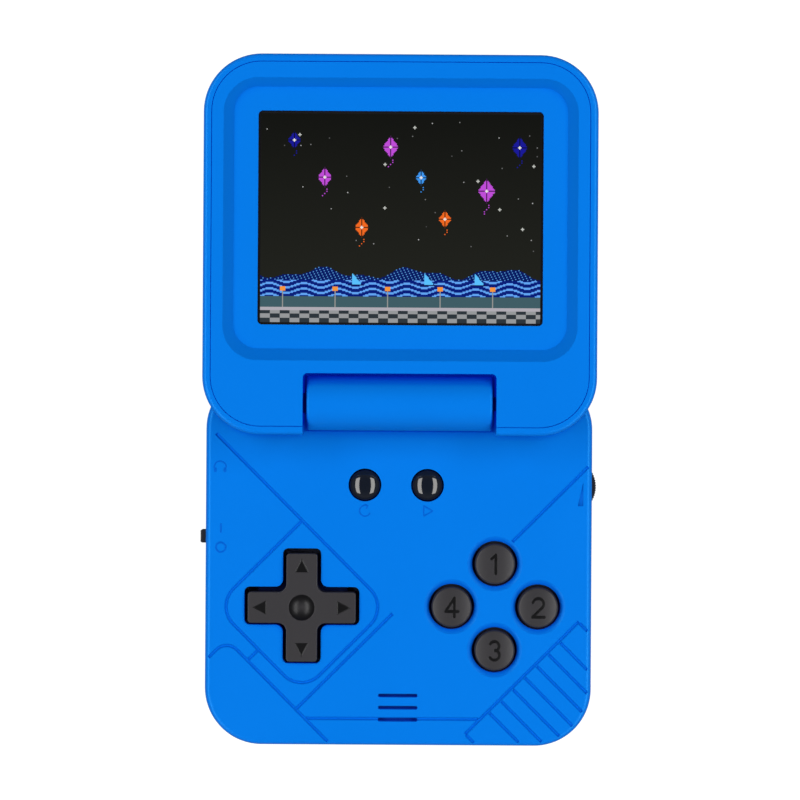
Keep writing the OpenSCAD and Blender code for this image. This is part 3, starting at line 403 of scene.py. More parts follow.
def make_piece(name, grids, body, finish, ink=None):
    """One closed mesh from grids of rings, with the painted shade of each point where the piece has marks."""
    points = np.concatenate([grid.reshape(-1, 3) for grid in grids])
    starts = np.cumsum([0] + [grid.shape[0] * grid.shape[1] for grid in grids])
    faces = np.concatenate([grid_faces(*grid.shape[:2], start) for grid, start in zip(grids, starts)])
    mesh = bpy.data.meshes.new(name)
    mesh.from_pydata(points, [], faces.tolist())
    if ink is not None:
        mesh.attributes.new("ink", "FLOAT", "POINT").data.foreach_set("value", ink.astype(np.float32))
    close_mesh(mesh)
    return place_piece(name, mesh, body, finish)


print("points closer than", round(merge_distance / MM, 5), "mm are merged")

# %% [markdown]
# ## Strokes
# Numerals are lines of one width. The depth of the groove at a point depends only on how far that point is
# from the nearest line, so a numeral is a list of lines and arcs, and one distance function engraves them
# all.


# %% Distance to lines, and a soft step
def arc(centre, radius, start, end, count=14):
    """Points on an arc between two angles in degrees: centre + radius * (cos a, sin a)."""
    angle = np.radians(np.linspace(start, end, count))
    return np.stack([centre[0] + radius * np.cos(angle), centre[1] + radius * np.sin(angle)], 1)


def distance_to_line(x, y, line):
    """Least distance from each point to a line of segments: the foot of the perpendicular, kept on it."""
    best = np.full(x.shape, np.inf)
    for (ax, ay), (bx, by) in zip(line[:-1], line[1:]):
        dx, dy = bx - ax, by - ay
        share = np.clip(((x - ax) * dx + (y - ay) * dy) / (dx * dx + dy * dy), 0, 1)
        best = np.minimum(best, np.hypot(x - ax - share * dx, y - ay - share * dy))
    return best


def soft_step(value, low, high):
    """0 below low, 1 above high and 3t^2 - 2t^3 between them, where t goes evenly from 0 to 1."""
    t = np.clip((value - low) / (high - low), 0, 1)
    return t * t * (3 - 2 * t)


# %% Numerals, each one unit high
NUMERALS = {
    1: [np.array([(-0.2, 0.3), (0.03, 0.5), (0.03, -0.5)])],
    2: [np.concatenate([arc((0, 0.21), 0.29, 165, -35), [(-0.3, -0.5), (0.32, -0.5)]])],
    3: [np.concatenate([arc((-0.02, 0.25), 0.25, 150, -80), arc((-0.02, -0.23), 0.27, 80, -150)])],
    4: [np.array([(0.14, -0.5), (0.14, 0.5), (-0.33, -0.22), (0.34, -0.22)])],
}
print("numerals:", sorted(NUMERALS))

# %% [markdown]
# ## Action buttons
# Each cap is a turned shape: a flange that keeps it in its hole, a straight side, a rolled edge and a
# shallow dome. It could be a lathe outline with a modifier, but the numeral needs points close enough
# together to hold its groove, so the whole top is a fine polar grid and the groove is part of its height.

# %% Stations of a round cap
flange_lip = 1.1 * MM
flange_thick = 1.0 * MM


def circle(radius, count):
    """count points at equal angles on a circle about the origin: radius * (cos a, sin a)."""
    angle = np.linspace(0, 2 * math.pi, count, endpoint=False)
    return radius * np.stack([np.cos(angle), np.sin(angle)], 1)


def dome_height(radius, top, crown):
    """Height of a ball of radius crown that just reaches top, at that distance from its axis."""
    return top - crown + np.sqrt(crown * crown - radius * radius)


def cap_stations(radius, low, top, crown, edge, rows):
    """Stations up the flange and the side, round the rolled edge and in over the dome to the middle.

    The roll is a circle of radius edge that touches both the side and, from inside, the ball of the dome, so
    its middle lies crown - edge from the middle of the ball, and it ends at the angle where they touch. The
    rows of the dome lie a little closer together towards the rim.
    """
    lip = -flange_lip
    across = radius - edge
    shoulder = top - crown + math.sqrt((crown - edge) ** 2 - across**2)
    tilt = math.asin(across / (crown - edge))
    roll = np.linspace(0, math.pi / 2 - tilt, 9)[:-1]
    up = [(0, 0.0, low), (0, 0.5, low), (lip, 1, low), (lip, 1, low + flange_thick),
          (0, 1, low + flange_thick), (0, 1, (low + shoulder) / 2)]
    edge_rows = [(edge * (1 - math.cos(a)), 1, shoulder + edge * math.sin(a)) for a in roll]
    reach = crown * math.sin(tilt)
    inward = np.linspace(1, 0, rows) ** 0.85 * reach
    top_rows = [(radius - reach, r / reach, dome_height(r, top, crown)) for r in inward]
    return up + edge_rows + top_rows


print("flange:", flange_lip / MM, "mm out,", flange_thick / MM, "mm thick")

# %% Build the four action buttons
cap_points, cap_rows = 300, 78
cap_roll = 0.6 * MM
cap_crown = 15.0 * MM
numeral_height = 4.1 * MM
numeral_stroke = 0.66 * MM
numeral_depth = 0.16 * MM
wall_inside, wall_outside = 0.07 * MM, 0.05 * MM
top_layer = 1.2 * MM


def action_cap(name, numeral, body):
    """One cap about its own axis, engraved over its top layer, then moved to its hole."""
    low, high = node_box(name)
    radius = (high[0] - low[0]) / 2 - flange_lip
    stations = cap_stations(radius, low[2], high[2], cap_crown, cap_roll, cap_rows)
    grid = ring_stack(circle(radius, cap_points), stations)
    x, y = grid[..., 0], grid[..., 1]
    near = np.minimum.reduce([distance_to_line(x, y, line * numeral_height) for line in NUMERALS[numeral]])
    mark = 1 - soft_step(near, numeral_stroke / 2 - wall_inside, numeral_stroke / 2 + wall_outside)
    mark = mark * (grid[..., 2] > high[2] - top_layer)
    grid[..., 2] -= mark * numeral_depth
    grid[..., :2] += middle(name)[:2]
    # The groove's mask also gives each point its amount of painted shade.
    piece = make_piece(name + "_cap", [grid], body, cap_charcoal, mark.ravel())
    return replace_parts(piece, name)


for side, numeral in (("top", 1), ("right", 2), ("bottom", 3), ("left", 4)):
    cap = action_cap("action_button_" + side, numeral, "action_" + side)
    print(cap.name, len(cap.data.polygons), "faces")

# %% [markdown]
# ## Small domed buttons
# The two small buttons are polished domes. A polished ball shows every facet in its reflections, so the CAD
# dome, which is made of flat triangles, is replaced by the same dome with finer rings.

# %% Build the two domes
dome_points, dome_rows = 128, 40
dome_crown = 5.0 * MM
dome_roll = 0.45 * MM
for side in ("left", "right"):
    node = "menu_button_" + side
    low, high = node_box(node)
    radius = (high[0] - low[0]) / 2 - flange_lip
    stations = cap_stations(radius, low[2], high[2], dome_crown, dome_roll, dome_rows)
    grid = ring_stack(circle(radius, dome_points), stations)
    grid[..., :2] += middle(node)[:2]
    dome = make_piece(node + "_dome", [grid], "menu_" + side, gloss_black)
    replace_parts(dome, node)
    print(dome.name, len(dome.data.polygons), "faces")

# %% [markdown]
# ## D-pad
# The cross is also a stack of rings, because from its middle every point of its outline can be seen: a ring
# drawn towards the middle never crosses itself. The dish in the middle and the four sunk arrow heads are
# worked into the height of the top.

# %% Outline of the cross
pad_low, pad_high = node_box("dpad_cross")
pad_reach = (pad_high[0] - pad_low[0]) / 2
pad_arm = 3.4 * MM
pad_corner = 0.7 * MM
pad_fillet = 1.8 * MM
pad_step = 0.16 * MM


def run(a, b, step):
    """Points from a up to but not including b, about step apart."""
    a, b = np.array(a, float), np.array(b, float)
    count = max(2, int(np.linalg.norm(b - a) / step))
    return a + (b - a) * np.linspace(0, 1, count, endpoint=False)[:, None]


def cross_outline(reach, arm, corner, fillet, step):
    """A quarter of the cross, from the tip of one arm to the tip of the next, turned four times."""
    inner = arm + fillet
    quarter = np.concatenate([
        run((reach, 0), (reach, arm - corner), step),
        arc((reach - corner, arm - corner), corner, 0, 90, 12)[:-1],
        run((reach - corner, arm), (inner, arm), step),
        arc((inner, inner), fillet, -90, -180, 10)[:-1],
        run((arm, inner), (arm, reach - corner), step),
        arc((arm - corner, reach - corner), corner, 0, 90, 12)[:-1],
        run((arm - corner, reach), (0, reach), step),
    ])
    turns = [np.array([[c, s], [-s, c]]) for c, s in ((1, 0), (0, 1), (-1, 0), (0, -1))]
    return np.concatenate([quarter @ turn for turn in turns])


cross = cross_outline(pad_reach, pad_arm, pad_corner, pad_fillet, pad_step)
print("points round the cross:", len(cross))

# %% [markdown]
# An arrow head is a triangle, and its depth at a point is worked out from how far inside its three sides the
# point lies. The smallest of those three distances is the distance to the nearest side. Going inwards, the
# painted shade starts first, then the wall of the groove, then its floor, so the walls are painted dark
# too. The painted shade also darkens the dish, more and more from its middle to its steep sides.

# %% Heights and marks on the cross
pad_roll = 0.2 * MM
pad_top = face_z + 1.2 * MM
pad_rows = 125
underside_lift = 0.4 * MM
dish_radius, dish_depth = 3.6 * MM, 1.45 * MM
dish_shade, dish_shade_depth = 0.88, 0.12 * MM
dish_shade_near, dish_shade_far = -0.7 * MM, 2.0 * MM
arrow_tip, arrow_length, arrow_half = 1.2 * MM, 2.8 * MM, 1.42 * MM
arrow_depth = 0.12 * MM
# The first of these is where the painted shade of an arrow head begins, a little outside its groove.
arrow_shade_edge, arrow_rim, arrow_floor = -0.1 * MM, -0.04 * MM, 0.06 * MM


def inside_arrow(x, y):
    """Distance inside an arrow head that points along +X near the end of an arm, below 0 outside it."""
    tip = pad_reach - arrow_tip
    slope = np.hypot(arrow_length, arrow_half)
    sides = ((tip - x) * arrow_half - np.abs(y) * arrow_length) / slope
    return np.minimum(sides, x - (tip - arrow_length))


def pad_stations(low, top, roll, rows):
    """Stations of a block: closed below, straight up, a quarter circle of radius roll, flat to the middle."""
    angles = np.radians(np.linspace(0, 90, 7))
    sides = [(0, 0.0, low), (0, 0.6, low), (0, 1, low), (0, 1, (low + top) / 2)]
    edge = [(roll * (1 - math.cos(a)), 1, top - roll + roll * math.sin(a)) for a in angles]
    return sides + edge + [(roll, share, top) for share in np.linspace(1, 0, rows)[1:]]


def dish_height(far):
    """How far a ball that sinks dish_depth into the top lies below it, at that distance from its axis."""
    return np.minimum(0, dish_radius - dish_depth - np.sqrt(dish_radius**2 - far**2))


print("the D-pad stands", round((pad_top - face_z) / MM, 2), "mm out of the face")

# %% Build the D-pad
grid = ring_stack(cross, pad_stations(pad_low[2] + underside_lift, pad_top, pad_roll, pad_rows))
x, y, z = grid[..., 0], grid[..., 1], grid[..., 2]
on_top = z > pad_top - pad_roll
arrows = np.maximum.reduce([inside_arrow(*turned) for turned in ((x, y), (-x, y), (y, x), (-y, x))])
sunk = soft_step(arrows, arrow_rim, arrow_floor) * on_top
far = np.minimum(np.hypot(x, y), dish_radius)
dish = dish_height(far) * on_top
# Painted shade: darker towards the steep sides of the dish, and in the arrow heads and their walls.
shade = soft_step(-dish, 0, dish_shade_depth) * soft_step(far, dish_shade_near, dish_shade_far)
mark = np.maximum(soft_step(arrows, arrow_shade_edge, arrow_rim) * on_top, dish_shade * shade)
grid[..., 2] += dish - sunk * arrow_depth
grid[..., :2] += middle("dpad_cross")[:2]
pad = make_piece("dpad_cap", [grid], "dpad", cap_charcoal, mark.ravel())
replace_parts(pad, "dpad_cross")
print(pad.name, len(pad.data.polygons), "faces")

# %% [markdown]
# Under the cross is a round flange, which keeps it in its hole. It shows only as the floor of the narrow
# gap, so it gets a navy finish of its own: painted shade with the blue light of the walls painted in, though
# the real flange is charcoal like the cross.

# %% Build the flange
flange_radius, flange_bevel = 10.6 * MM, 0.3 * MM
flange_stations = slab_stations(pad_low[2], pad_low[2] + flange_thick, flange_bevel)
flange = ring_stack(circle(flange_radius, 96), flange_stations)
flange[..., :2] += middle("dpad_pivot")[:2]
pad_flange = make_piece("dpad_flange", [flange], "dpad", flange_shade)
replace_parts(pad_flange, "dpad_cross")
print(pad_flange.name, len(pad_flange.data.polygons), "faces")

# %% [markdown]
# ## Screen
# The lens is a flat sheet of black glass, and the picture is laid on its middle, so a black border stays. An
# image file isn't needed for a pixel picture: each pixel is one small square face with its own colour,
# worked out by formulas, and the shader lets it glow.

# %% The lens
lens_low, lens_high = node_box("screen_lens")
lens_corner, lens_roll = 2.0 * MM, 0.12 * MM
side_step = 2.0 * MM


def round_outline(width, depth, corner, count=10):
    """Rectangle with round corners about the origin, anticlockwise, its sides cut about every side_step."""
    w, d = width / 2 - corner, depth / 2 - corner
    places = ((w, d, 0), (-w, d, 90), (-w, -d, 180), (w, -d, 270))
    corners = [arc((cx, cy), corner, a, a + 90, count) for cx, cy, a in places]
    sides = [run(corners[i][-1], corners[(i + 1) % 4][0], side_step)[1:] for i in range(4)]
    return np.concatenate([part for pair in zip(corners, sides) for part in pair])


glass_black = grained("glass_black", linear(14, 14, 16), 0.06, 2.0, 0.0002, rough_spread=0.02)
lens_outline = round_outline(lens_high[0] - lens_low[0], lens_high[1] - lens_low[1], lens_corner)
lens = ring_stack(lens_outline, pad_stations(lens_low[2], lens_high[2], lens_roll, 6))
lens[..., :2] += middle("screen_lens")[:2]
glass = make_piece("screen_glass", [lens], "lid", glass_black)
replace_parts(glass, "screen_lens")
print(glass.name, len(glass.data.polygons), "faces")

# %% [markdown]
# ### The picture
# The picture is a made-up scene of kites over a lake at night: stars, a low line of hills from sums of
# sines, rippled water with three small sails, and a paved bank with lanterns. Each layer is a mask over the
# whole grid of pixels, and later layers cover earlier ones.

# %% Pixels, and the shapes that lie on them
screen_columns, screen_rows = 256, 192
column, line = np.meshgrid(np.arange(screen_columns), np.arange(screen_rows))
night_top, night_low = np.array(linear(15, 16, 11)[:3]), np.array(linear(30, 31, 25)[:3])
night_reach = 150.0
picture = night_top + (night_low - night_top) * (line / night_reach)[..., None]


def lay(mask, colour):
    """Paints the pixels of the mask in a screen colour."""
    picture[mask] = linear(*colour)[:3]


def inside(left, right, top, low):
    """True in a rectangle of pixels, its right and lower ends left out."""
    return (column >= left) & (column < right) & (line >= top) & (line < low)


def hills(level, swing, wave, shift):
    """True below a skyline that is the sum of two sines, the second half as high and 2.3 times as fast."""
    slow = swing * np.sin(column / wave + shift)
    fast = 0.5 * swing * np.sin(2.3 * column / wave + 2 * shift)
    return line > level + slow + fast


def kite(cx, cy, half, colour):
    """A diamond split by a dark cross, with a bright middle and a dotted tail that swings to and fro."""
    across, down = np.abs(column - cx), np.abs(line - cy)
    diamond = across * 1.4 + down <= half
    lay(diamond, colour)
    lay(diamond & ((across == 0) | (down == 0)), [part // 3 for part in colour])
    lay(across + down <= 1, (235, 232, 225))
    drop = line - cy - half
    swing = np.round(2 * np.sin(drop / 2.0))
    lay((drop > 0) & (drop < half) & (column == cx + swing) & (drop % 2 == 0), colour)


def sail(cx, foot):
    """A three-cornered sail, 11 pixels high, over a short dark hull."""
    up = foot - line
    lay((up >= 0) & (up < 11) & (column >= cx) & (column < cx + (11 - up) * 0.8), (88, 192, 252))
    lay((up == 0) & (np.abs(column - cx - 3) < 8), (12, 20, 70))


print("pixels:", picture.shape)

# %% Paint the sky
violet, orange, azure, indigo = (190, 76, 214), (240, 104, 30), (60, 150, 240), (22, 22, 150)
stars = np.random.default_rng(11).integers((2, 4), (screen_columns - 2, 128), (46, 2))
for count, (star_x, star_y) in enumerate(stars):
    grey = 70 + (star_x * 37 + star_y * 11) % 120
    lay((column == star_x) & (line == star_y), (grey, grey, grey))
    if count % 6 == 0:
        lay((np.abs(column - star_x) + np.abs(line - star_y)) <= 1, (190, 192, 186))
kites = ((58, 58, 9, violet), (118, 30, 10, violet), (206, 70, 11, violet), (92, 104, 9, orange),
         (168, 96, 8, orange), (146, 58, 7, azure), (30, 24, 8, indigo), (236, 30, 10, indigo))
for row in kites:
    kite(*row)
print("stars:", len(stars), " kites:", len(kites))

# %% Paint the hills, the lake and the bank
lake_top, lake_low, bank_low, paving_top = 152, 168, 178, 181
far_hills = hills(146, 4, 13, 0.4)
lay(far_hills, (0, 22, 96))
lay(far_hills & ((column + 3 * line) % 7 == 0), (84, 150, 214))
lay(line > lake_top, (2, 26, 120))
ripple = 2 * np.sin(column / 5.0)
lay((line > lake_top) & (line < lake_low) & (np.abs((line + ripple) % 5 - 2.5) < 0.9), (96, 164, 244))
for mast in (84, 150, 196):
    sail(mast, lake_top + 5)
lay(inside(0, screen_columns, lake_low, bank_low), (62, 92, 100))
lay(inside(0, screen_columns, bank_low, paving_top), (176, 172, 180))
paving = inside(0, screen_columns, paving_top, screen_rows)
lay(paving, (44, 52, 58))
lay(paving & ((column // 9 + line // 4) % 2 == 0), (150, 152, 154))
for post in range(20, screen_columns, 48):
    lay(inside(post, post + 1, 162, bank_low), (150, 150, 146))
    lay(inside(post - 2, post + 3, 159, 163), (246, 150, 60))
print("brightest colour, linear:", round(float(picture.max()), 3))

# %% [markdown]
# The array becomes a grid of square faces a hair over the lens. All four corners of a square share its
# colour, so the pixels keep their edges. The shader takes the colour as light and leaves the base nearly
# black and polished, as glass in front of a lit panel is.

# %% Build the picture
lens_border = 1.8 * MM
picture_border = 0.55 * MM
picture_lift = 0.02 * MM
window_low, window_high = lens_low + lens_border, lens_high - lens_border
across = np.linspace(window_low[0] + picture_border, window_high[0] - picture_border, screen_columns + 1)
upright = np.linspace(window_high[1] - picture_border, window_low[1] + picture_border, screen_rows + 1)
gx, gy = np.meshgrid(across, upright)
points = np.stack([gx, gy, np.full_like(gx, lens_high[2] + picture_lift)], -1).reshape(-1, 3)
corner = (np.arange(screen_rows)[:, None] * (screen_columns + 1) + np.arange(screen_columns)[None]).ravel()
faces = np.stack([corner, corner + screen_columns + 1, corner + screen_columns + 2, corner + 1], 1)
mesh = bpy.data.meshes.new("screen_picture")
mesh.from_pydata(points, [], faces.tolist())
colours = np.concatenate([picture.reshape(-1, 3), np.ones((len(faces), 1))], 1)
glow = mesh.color_attributes.new("glow", "FLOAT_COLOR", "CORNER")
glow.data.foreach_set("color", np.repeat(colours, 4, 0).astype(np.float32).ravel())

lit_glass = new_material("lit_glass", Base_Color=linear(2, 2, 3), Roughness=0.06, Specular_IOR_Level=0.3,
                         Emission_Strength=1.0)
light = lit_glass.node_tree.nodes.new("ShaderNodeAttribute")
light.attribute_name = "glow"
lit_glass.node_tree.links.new(light.outputs["Color"], shader_of(lit_glass).inputs["Emission Color"])
screen = place_piece("screen_picture", mesh, "lid", lit_glass)
print(screen.name, len(faces), "pixels")

# %% [markdown]
# ## Signs
# The signs beside the controls are thin strokes of darker blue. Each stroke is a tube with a flat oval
# section, carried along its line and drawn to a point at both ends, so a sign is a few closed shells that
# stand a few hundredths of a millimetre out of the face. One sign is a filled wedge: a thin plate instead.

# %% Tube along a flat line
stroke_height = 0.05 * MM
stroke_step = 0.08 * MM


def spread(line, step):
    """The same line with points about step apart, by length along it."""
    line = np.array(line, float)
    length = np.concatenate([[0], np.cumsum(np.linalg.norm(np.diff(line, axis=0), axis=1))])
    at = np.linspace(0, length[-1], max(4, int(length[-1] / step) + 1))
    return np.stack([np.interp(at, length, line[:, k]) for k in (0, 1)], 1), at


def stroke(line, width, closed=False, sides=10):
    """Rings (along, around, 3): middle + side*w*cos(a), height h*sin(a), both shrinking round the ends."""
    flat, at = spread(line, stroke_step)
    if closed:
        flat = np.concatenate([flat, flat[1:2]])
    along = np.gradient(flat, axis=0)
    along /= np.linalg.norm(along, axis=1)[:, None]
    side = np.stack([-along[:, 1], along[:, 0]], 1)
    end = np.minimum(at, at[-1] - at) if not closed else np.full(len(flat), width)
    near = np.clip(end / (width / 2), 0, 1)
    swell = np.sqrt(np.clip(1 - (1 - near) ** 2, 0, 1))
    angle = np.linspace(0, 2 * math.pi, sides, endpoint=False)
    reach = swell[:, None] * (width / 2) * np.cos(angle)[None]
    rings = flat[:, None] + side[:, None] * reach[..., None]
    high = swell[:, None] * stroke_height * np.sin(angle)[None]
    return np.concatenate([rings, high[..., None]], 2)


def on_face(name, centre, grids):
    """Moves grids from the origin onto the face of the base, at centre in millimetres, as one piece."""
    for grid in grids:
        grid += np.array([centre[0] * MM, centre[1] * MM, face_z])
    return make_piece(name, grids, "base", sunk_blue)


def sign(name, centre, strokes):
    """Strokes about the origin in millimetres, each (line, width, closed), as a piece on the face."""
    return on_face(name, centre, [stroke(np.array(points) * MM, width * MM, closed)
                                  for points, width, closed in strokes])


def solid_sign(name, centre, outline):
    """A thin plate of that outline about the origin in millimetres, as a piece on the face."""
    plate = ring_stack(np.array(outline) * MM, slab_stations(-stroke_height, stroke_height))
    return on_face(name, centre, [plate])


# %% [markdown]
# A bar and a ring mark the two places of the slide switch, a pair of headphones the socket, a wedge the
# volume wheel, and an open circle and a play mark the two small buttons.

# %% Build the signs
bold, thin, pad_stroke = 0.42, 0.32, 0.62
left_x, menu_y = middle("menu_button_left")[:2] / MM
right_x = middle("menu_button_right")[0] / MM
side_controls = ("power_slider", "headphone_jack", "volume_wheel")
switch_y, jack_y, wheel_y = (middle(control)[1] / MM for control in side_controls)
left_edge, right_edge = base_low[0] / MM, base_high[0] / MM
switch_in, menu_down = 3.4, 5.65

signs = [
    sign("sign_on", (left_edge + switch_in, switch_y + 2.2), [([(0, -1.1), (0, 1.1)], bold, False)]),
    sign("sign_off", (left_edge + switch_in, switch_y - 2.0), [(arc((0, 0), 1.05, 0, 360, 40), bold, True)]),
    sign("sign_headphones", (left_edge + 3.15, jack_y - 0.1), [
        (arc((0, 0), 1.3, -10, 190, 30), thin, False),
        ([(-1.05, -1.15), (-1.05, -0.05)], pad_stroke, False),
        ([(1.05, -1.15), (1.05, -0.05)], pad_stroke, False),
    ]),
    solid_sign("sign_volume", (right_edge - 2.3, wheel_y - 2.1), [(0.3, -1.9), (0.3, 3.2), (-0.85, -1.9)]),
    sign("sign_again", (left_x + 0.05, menu_y - menu_down), [
        (arc((0, 0), 1.2, 60, 340, 32), thin, False),
        ([(-0.05, 1.45), (0.62, 1.06), (0.18, 0.38)], thin, False),
    ]),
    sign("sign_play", (right_x + 0.05, menu_y - menu_down), [
        ([(-0.85, -1.15), (-0.85, 1.15), (1.15, 0), (-0.85, -1.15)], thin, False),
    ]),
]
print("signs:", len(signs))

# %% [markdown]
# ## Volume wheel
# The wheel is a ring whose rim is cut by shallow scallops, so a finger can turn it. Its section is a small
# rectangle with rolled corners, carried once round the axis. The rim is drawn in by the square of a raised
# cosine of the angle, which gives broad teeth and narrow notches.

# %% Build the wheel
wheel_low, wheel_high = node_box("volume_wheel")
wheel_middle = middle("volume_wheel")
wheel_radius = (wheel_high[1] - wheel_low[1]) / 2
bore_radius = 1.56 * MM
wheel_corner = 0.25 * MM
wheel_teeth, points_per_tooth = 72, 12
tooth_depth, tooth_length = 0.12 * MM, 0.6 * MM
around = np.linspace(0, 2 * math.pi, wheel_teeth * points_per_tooth, endpoint=False)
section = round_outline(wheel_radius - bore_radius, wheel_high[2] - wheel_low[2], wheel_corner, 6)
radial = (wheel_radius + bore_radius) / 2 + section[:, 0]
rimward = soft_step(radial, wheel_radius - tooth_length, wheel_radius)
scallop = tooth_depth * (0.5 + 0.5 * np.cos(wheel_teeth * around)) ** 2
rim = radial[None] - scallop[:, None] * rimward[None]
wheel_grid = np.stack([
    wheel_middle[0] + rim * np.cos(around)[:, None],
    wheel_middle[1] + rim * np.sin(around)[:, None],
    np.broadcast_to(wheel_middle[2] + section[:, 1], rim.shape),
], -1)
wheel_grid = np.concatenate([wheel_grid, wheel_grid[:1]])
wheel = make_piece("volume_thumbwheel", [wheel_grid], "wheel", wheel_plastic)
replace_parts(wheel, "volume_wheel")
print(wheel.name, len(wheel.data.polygons), "faces")

# %% [markdown]
# ## Slide knob
# The knob of the power switch is a small plain block with rolled edges. Its front is set back by a tenth of
# a millimetre. The setback follows a wave whose length is nearly the distance from the middle of the front
# to its two ends, so the front stays flat, and the wave falls off round the corners and leaves them fuller.

# %% Build the knob
knob_low, knob_high = node_box("power_slider")
knob_half = (knob_high[0] - knob_low[0]) / 2
knob_corner, knob_roll = 0.6 * MM, 0.2 * MM
front_setback, front_wave, front_depth = 0.12 * MM, 0.85 * MM, 0.5 * MM
knob_outline = round_outline(2 * knob_half, knob_high[1] - knob_low[1], knob_corner, 12)
knob = ring_stack(knob_outline, pad_stations(knob_low[2], knob_high[2], knob_roll, 6))
front = soft_step(-knob[..., 0], knob_half - front_depth, knob_half)
knob[..., 0] += front_setback * front * (0.5 + 0.5 * np.cos(2 * math.pi * knob[..., 1] / front_wave))
knob[..., :2] += middle("power_slider")[:2]
slide_knob = make_piece("power_knob", [knob], "slider", knob_plastic)
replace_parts(slide_knob, "power_slider")
print(slide_knob.name, len(slide_knob.data.polygons), "faces")

# %% [markdown]
# ## Flat cable in the hinge
# The screen's cable is a thin film that is rolled up inside the barrel. The roll and the end at the screen
# turn with the lid, while the end at the board stays where it is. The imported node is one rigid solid, so it
# is replaced by two pieces, one on each side of the hinge, and each rides on its own body.

# %% Measures of the cable
film, film_corner = 0.3 * MM, 0.12 * MM
roll_radius, roll_points = 1.3 * MM, 48
tab_width, tab_depth = 5.5 * MM, 1.5 * MM
strip_width = 2.0 * MM
film_low, film_high = node_box("display_flex")
hinge = next(row for row in frame["record"]["behaviour"]["joints"] if row["name"] == "lid_hinge")
axis_y, axis_z = hinge["pos_m"][1:]
roll_start, roll_end = film_low[0] + tab_width, film_high[0]


def film_tube():
    """Rings (along, around, 3) of a thin tube on the hinge axis: out along its outside, back inside it."""
    outer, inner = circle(roll_radius, roll_points), circle(roll_radius - film, roll_points)
    route = [(roll_start, outer), (roll_end, outer), (roll_end, inner), (roll_start, inner)]
    rings = [[np.full(roll_points, x), axis_y + ring[:, 0], axis_z + ring[:, 1]] for x, ring in route]
    return np.array(rings + rings[:1]).transpose(0, 2, 1)


def film_plate(low, high):
    """A flat piece of film that fills the box from low to high, with round corners."""
    size, centre = np.array(high) - low, (np.array(high) + low) / 2
    plate = ring_stack(round_outline(size[0], size[1], film_corner, 4), slab_stations(low[2], high[2]))
    plate[..., :2] += centre[:2]
    return plate


print("the roll is", round((roll_end - roll_start) / MM, 2), "mm long")

# %% Build the end at the screen
film_top, film_under = axis_z + film / 2, axis_z - film / 2
tab_y = film_high[1] - tab_depth
strip = film_plate((roll_start - strip_width, axis_y + roll_radius / 2, film_under),
                   (roll_start + film, tab_y, film_top))
tab = film_plate((film_low[0], tab_y, film_under), (roll_start + film, film_high[1], film_top))
lid_end = make_piece("flex_roll", [film_tube(), strip, tab], "lid", amber_film)
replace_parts(lid_end, "display_flex")
print(lid_end.name, len(lid_end.data.polygons), "faces")

# %% Build the end at the board
tail_width, tail_sway, tail_in = 1.6 * MM, 0.4 * MM, 1.0 * MM
tail_heights = np.linspace(film_low[2], axis_z - roll_radius - film, 24)
tail_stations = [(0, 0.0, tail_heights[0]), *((0, 1, z) for z in tail_heights), (0, 0.0, tail_heights[-1])]
tail = ring_stack(round_outline(tail_width, film, film_corner, 4), tail_stations)
tail_share = (tail[..., 2] - tail_heights[0]) / np.ptp(tail_heights)
tail[..., 0] += roll_end - tail_in
tail[..., 1] += axis_y + tail_sway * np.sin(tail_share * 2 * math.pi)
base_end = make_piece("flex_tail", [tail], "base", amber_film)
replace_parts(base_end, "display_flex")
print(base_end.name, len(base_end.data.polygons), "faces")

# %% [markdown]
# ## Floor
# A white table under soft light burns out in the picture. A plane that gives off light of its own does the
# same here and keeps the shadow under the lid faint. It stays out of the reflections, where it would draw a
# white line along every rounded edge.

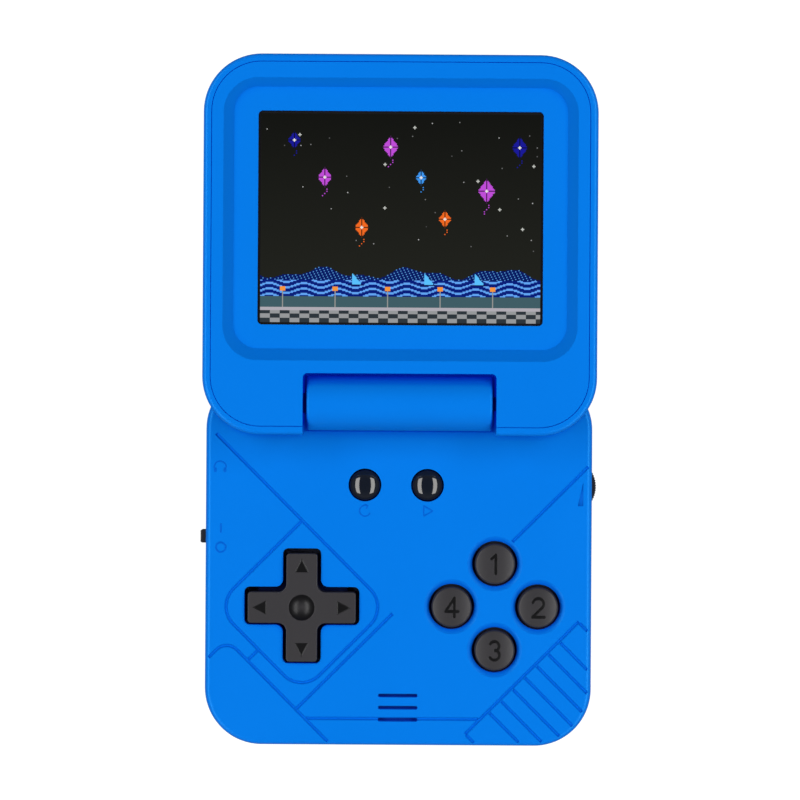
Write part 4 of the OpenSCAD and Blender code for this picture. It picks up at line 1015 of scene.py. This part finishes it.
# %% Floor
floor_half = 4.0
floor_grey, floor_glow = 0.15, 0.86
floor_corners = [(-floor_half, -floor_half, 0), (floor_half, -floor_half, 0),
                 (floor_half, floor_half, 0), (-floor_half, floor_half, 0)]
floor_mesh = bpy.data.meshes.new("floor")
floor_mesh.from_pydata(floor_corners, [], [(0, 1, 2, 3)])
floor = bpy.data.objects.new("floor", floor_mesh)
bpy.context.scene.collection.objects.link(floor)
floor_mesh.materials.append(new_material(
    "floor_white", Base_Color=(floor_grey, floor_grey, floor_grey, 1), Roughness=0.9, Specular_IOR_Level=0.0,
    Emission_Color=(1, 1, 1, 1), Emission_Strength=floor_glow))
floor.visible_glossy = False
print("floor", 2 * floor_half, "m wide")

# %% [markdown]
# ## Light
# The two bright bars in each polished dome tell how the picture was lit: two long soft boxes overhead, one
# on each side, with a dark gap between them for the camera. The flat faces mirror that gap, which is why the
# blue stays so deep. The same two panels are built here, and a sky that is pale above the horizon and dark
# overhead and underneath fills the shadows.

# %% Two soft boxes
panel_height = 1.0
panel_near, panel_far = 0.58, 1.22
panel_front, panel_back = -1.15, 0.85
panel_watts = 42.6


def soft_box(name, side):
    """A panel beside the camera, over one side of the console, facing down."""
    data = bpy.data.lights.new(name, "AREA")
    data.shape = "RECTANGLE"
    data.size = panel_far - panel_near
    data.size_y = panel_back - panel_front
    data.energy = panel_watts
    lamp = bpy.data.objects.new(name, data)
    lamp.location = (side * (panel_near + panel_far) / 2, (panel_front + panel_back) / 2, panel_height)
    bpy.context.scene.collection.objects.link(lamp)


soft_box("soft_box_left", -1)
soft_box("soft_box_right", 1)
print("panels", round(panel_far - panel_near, 2), "by", panel_back - panel_front, "m")

# %% Sky
sky = bpy.data.worlds.new("studio")
sky.use_nodes = True
bpy.context.scene.world = sky
nodes, links = sky.node_tree.nodes, sky.node_tree.links
direction = nodes.new("ShaderNodeTexCoord")
parts = nodes.new("ShaderNodeSeparateXYZ")
ramp = nodes.new("ShaderNodeValToRGB")
sky_stops = ((0.0, 0.02), (0.26, 0.06), (0.42, 0.3), (0.9, 0.05))
while len(ramp.color_ramp.elements) < len(sky_stops):
    ramp.color_ramp.elements.new(0.5)
for stop, (height, shade) in zip(ramp.color_ramp.elements, sky_stops):
    stop.position = height
    stop.color = (shade, shade, shade, 1)
links.new(direction.outputs["Generated"], parts.inputs["Vector"])
links.new(parts.outputs["Z"], ramp.inputs["Fac"])
links.new(ramp.outputs["Color"], nodes["Background"].inputs["Color"])
nodes["Background"].inputs["Strength"].default_value = 1.0
print("sky stops:", len(sky_stops))
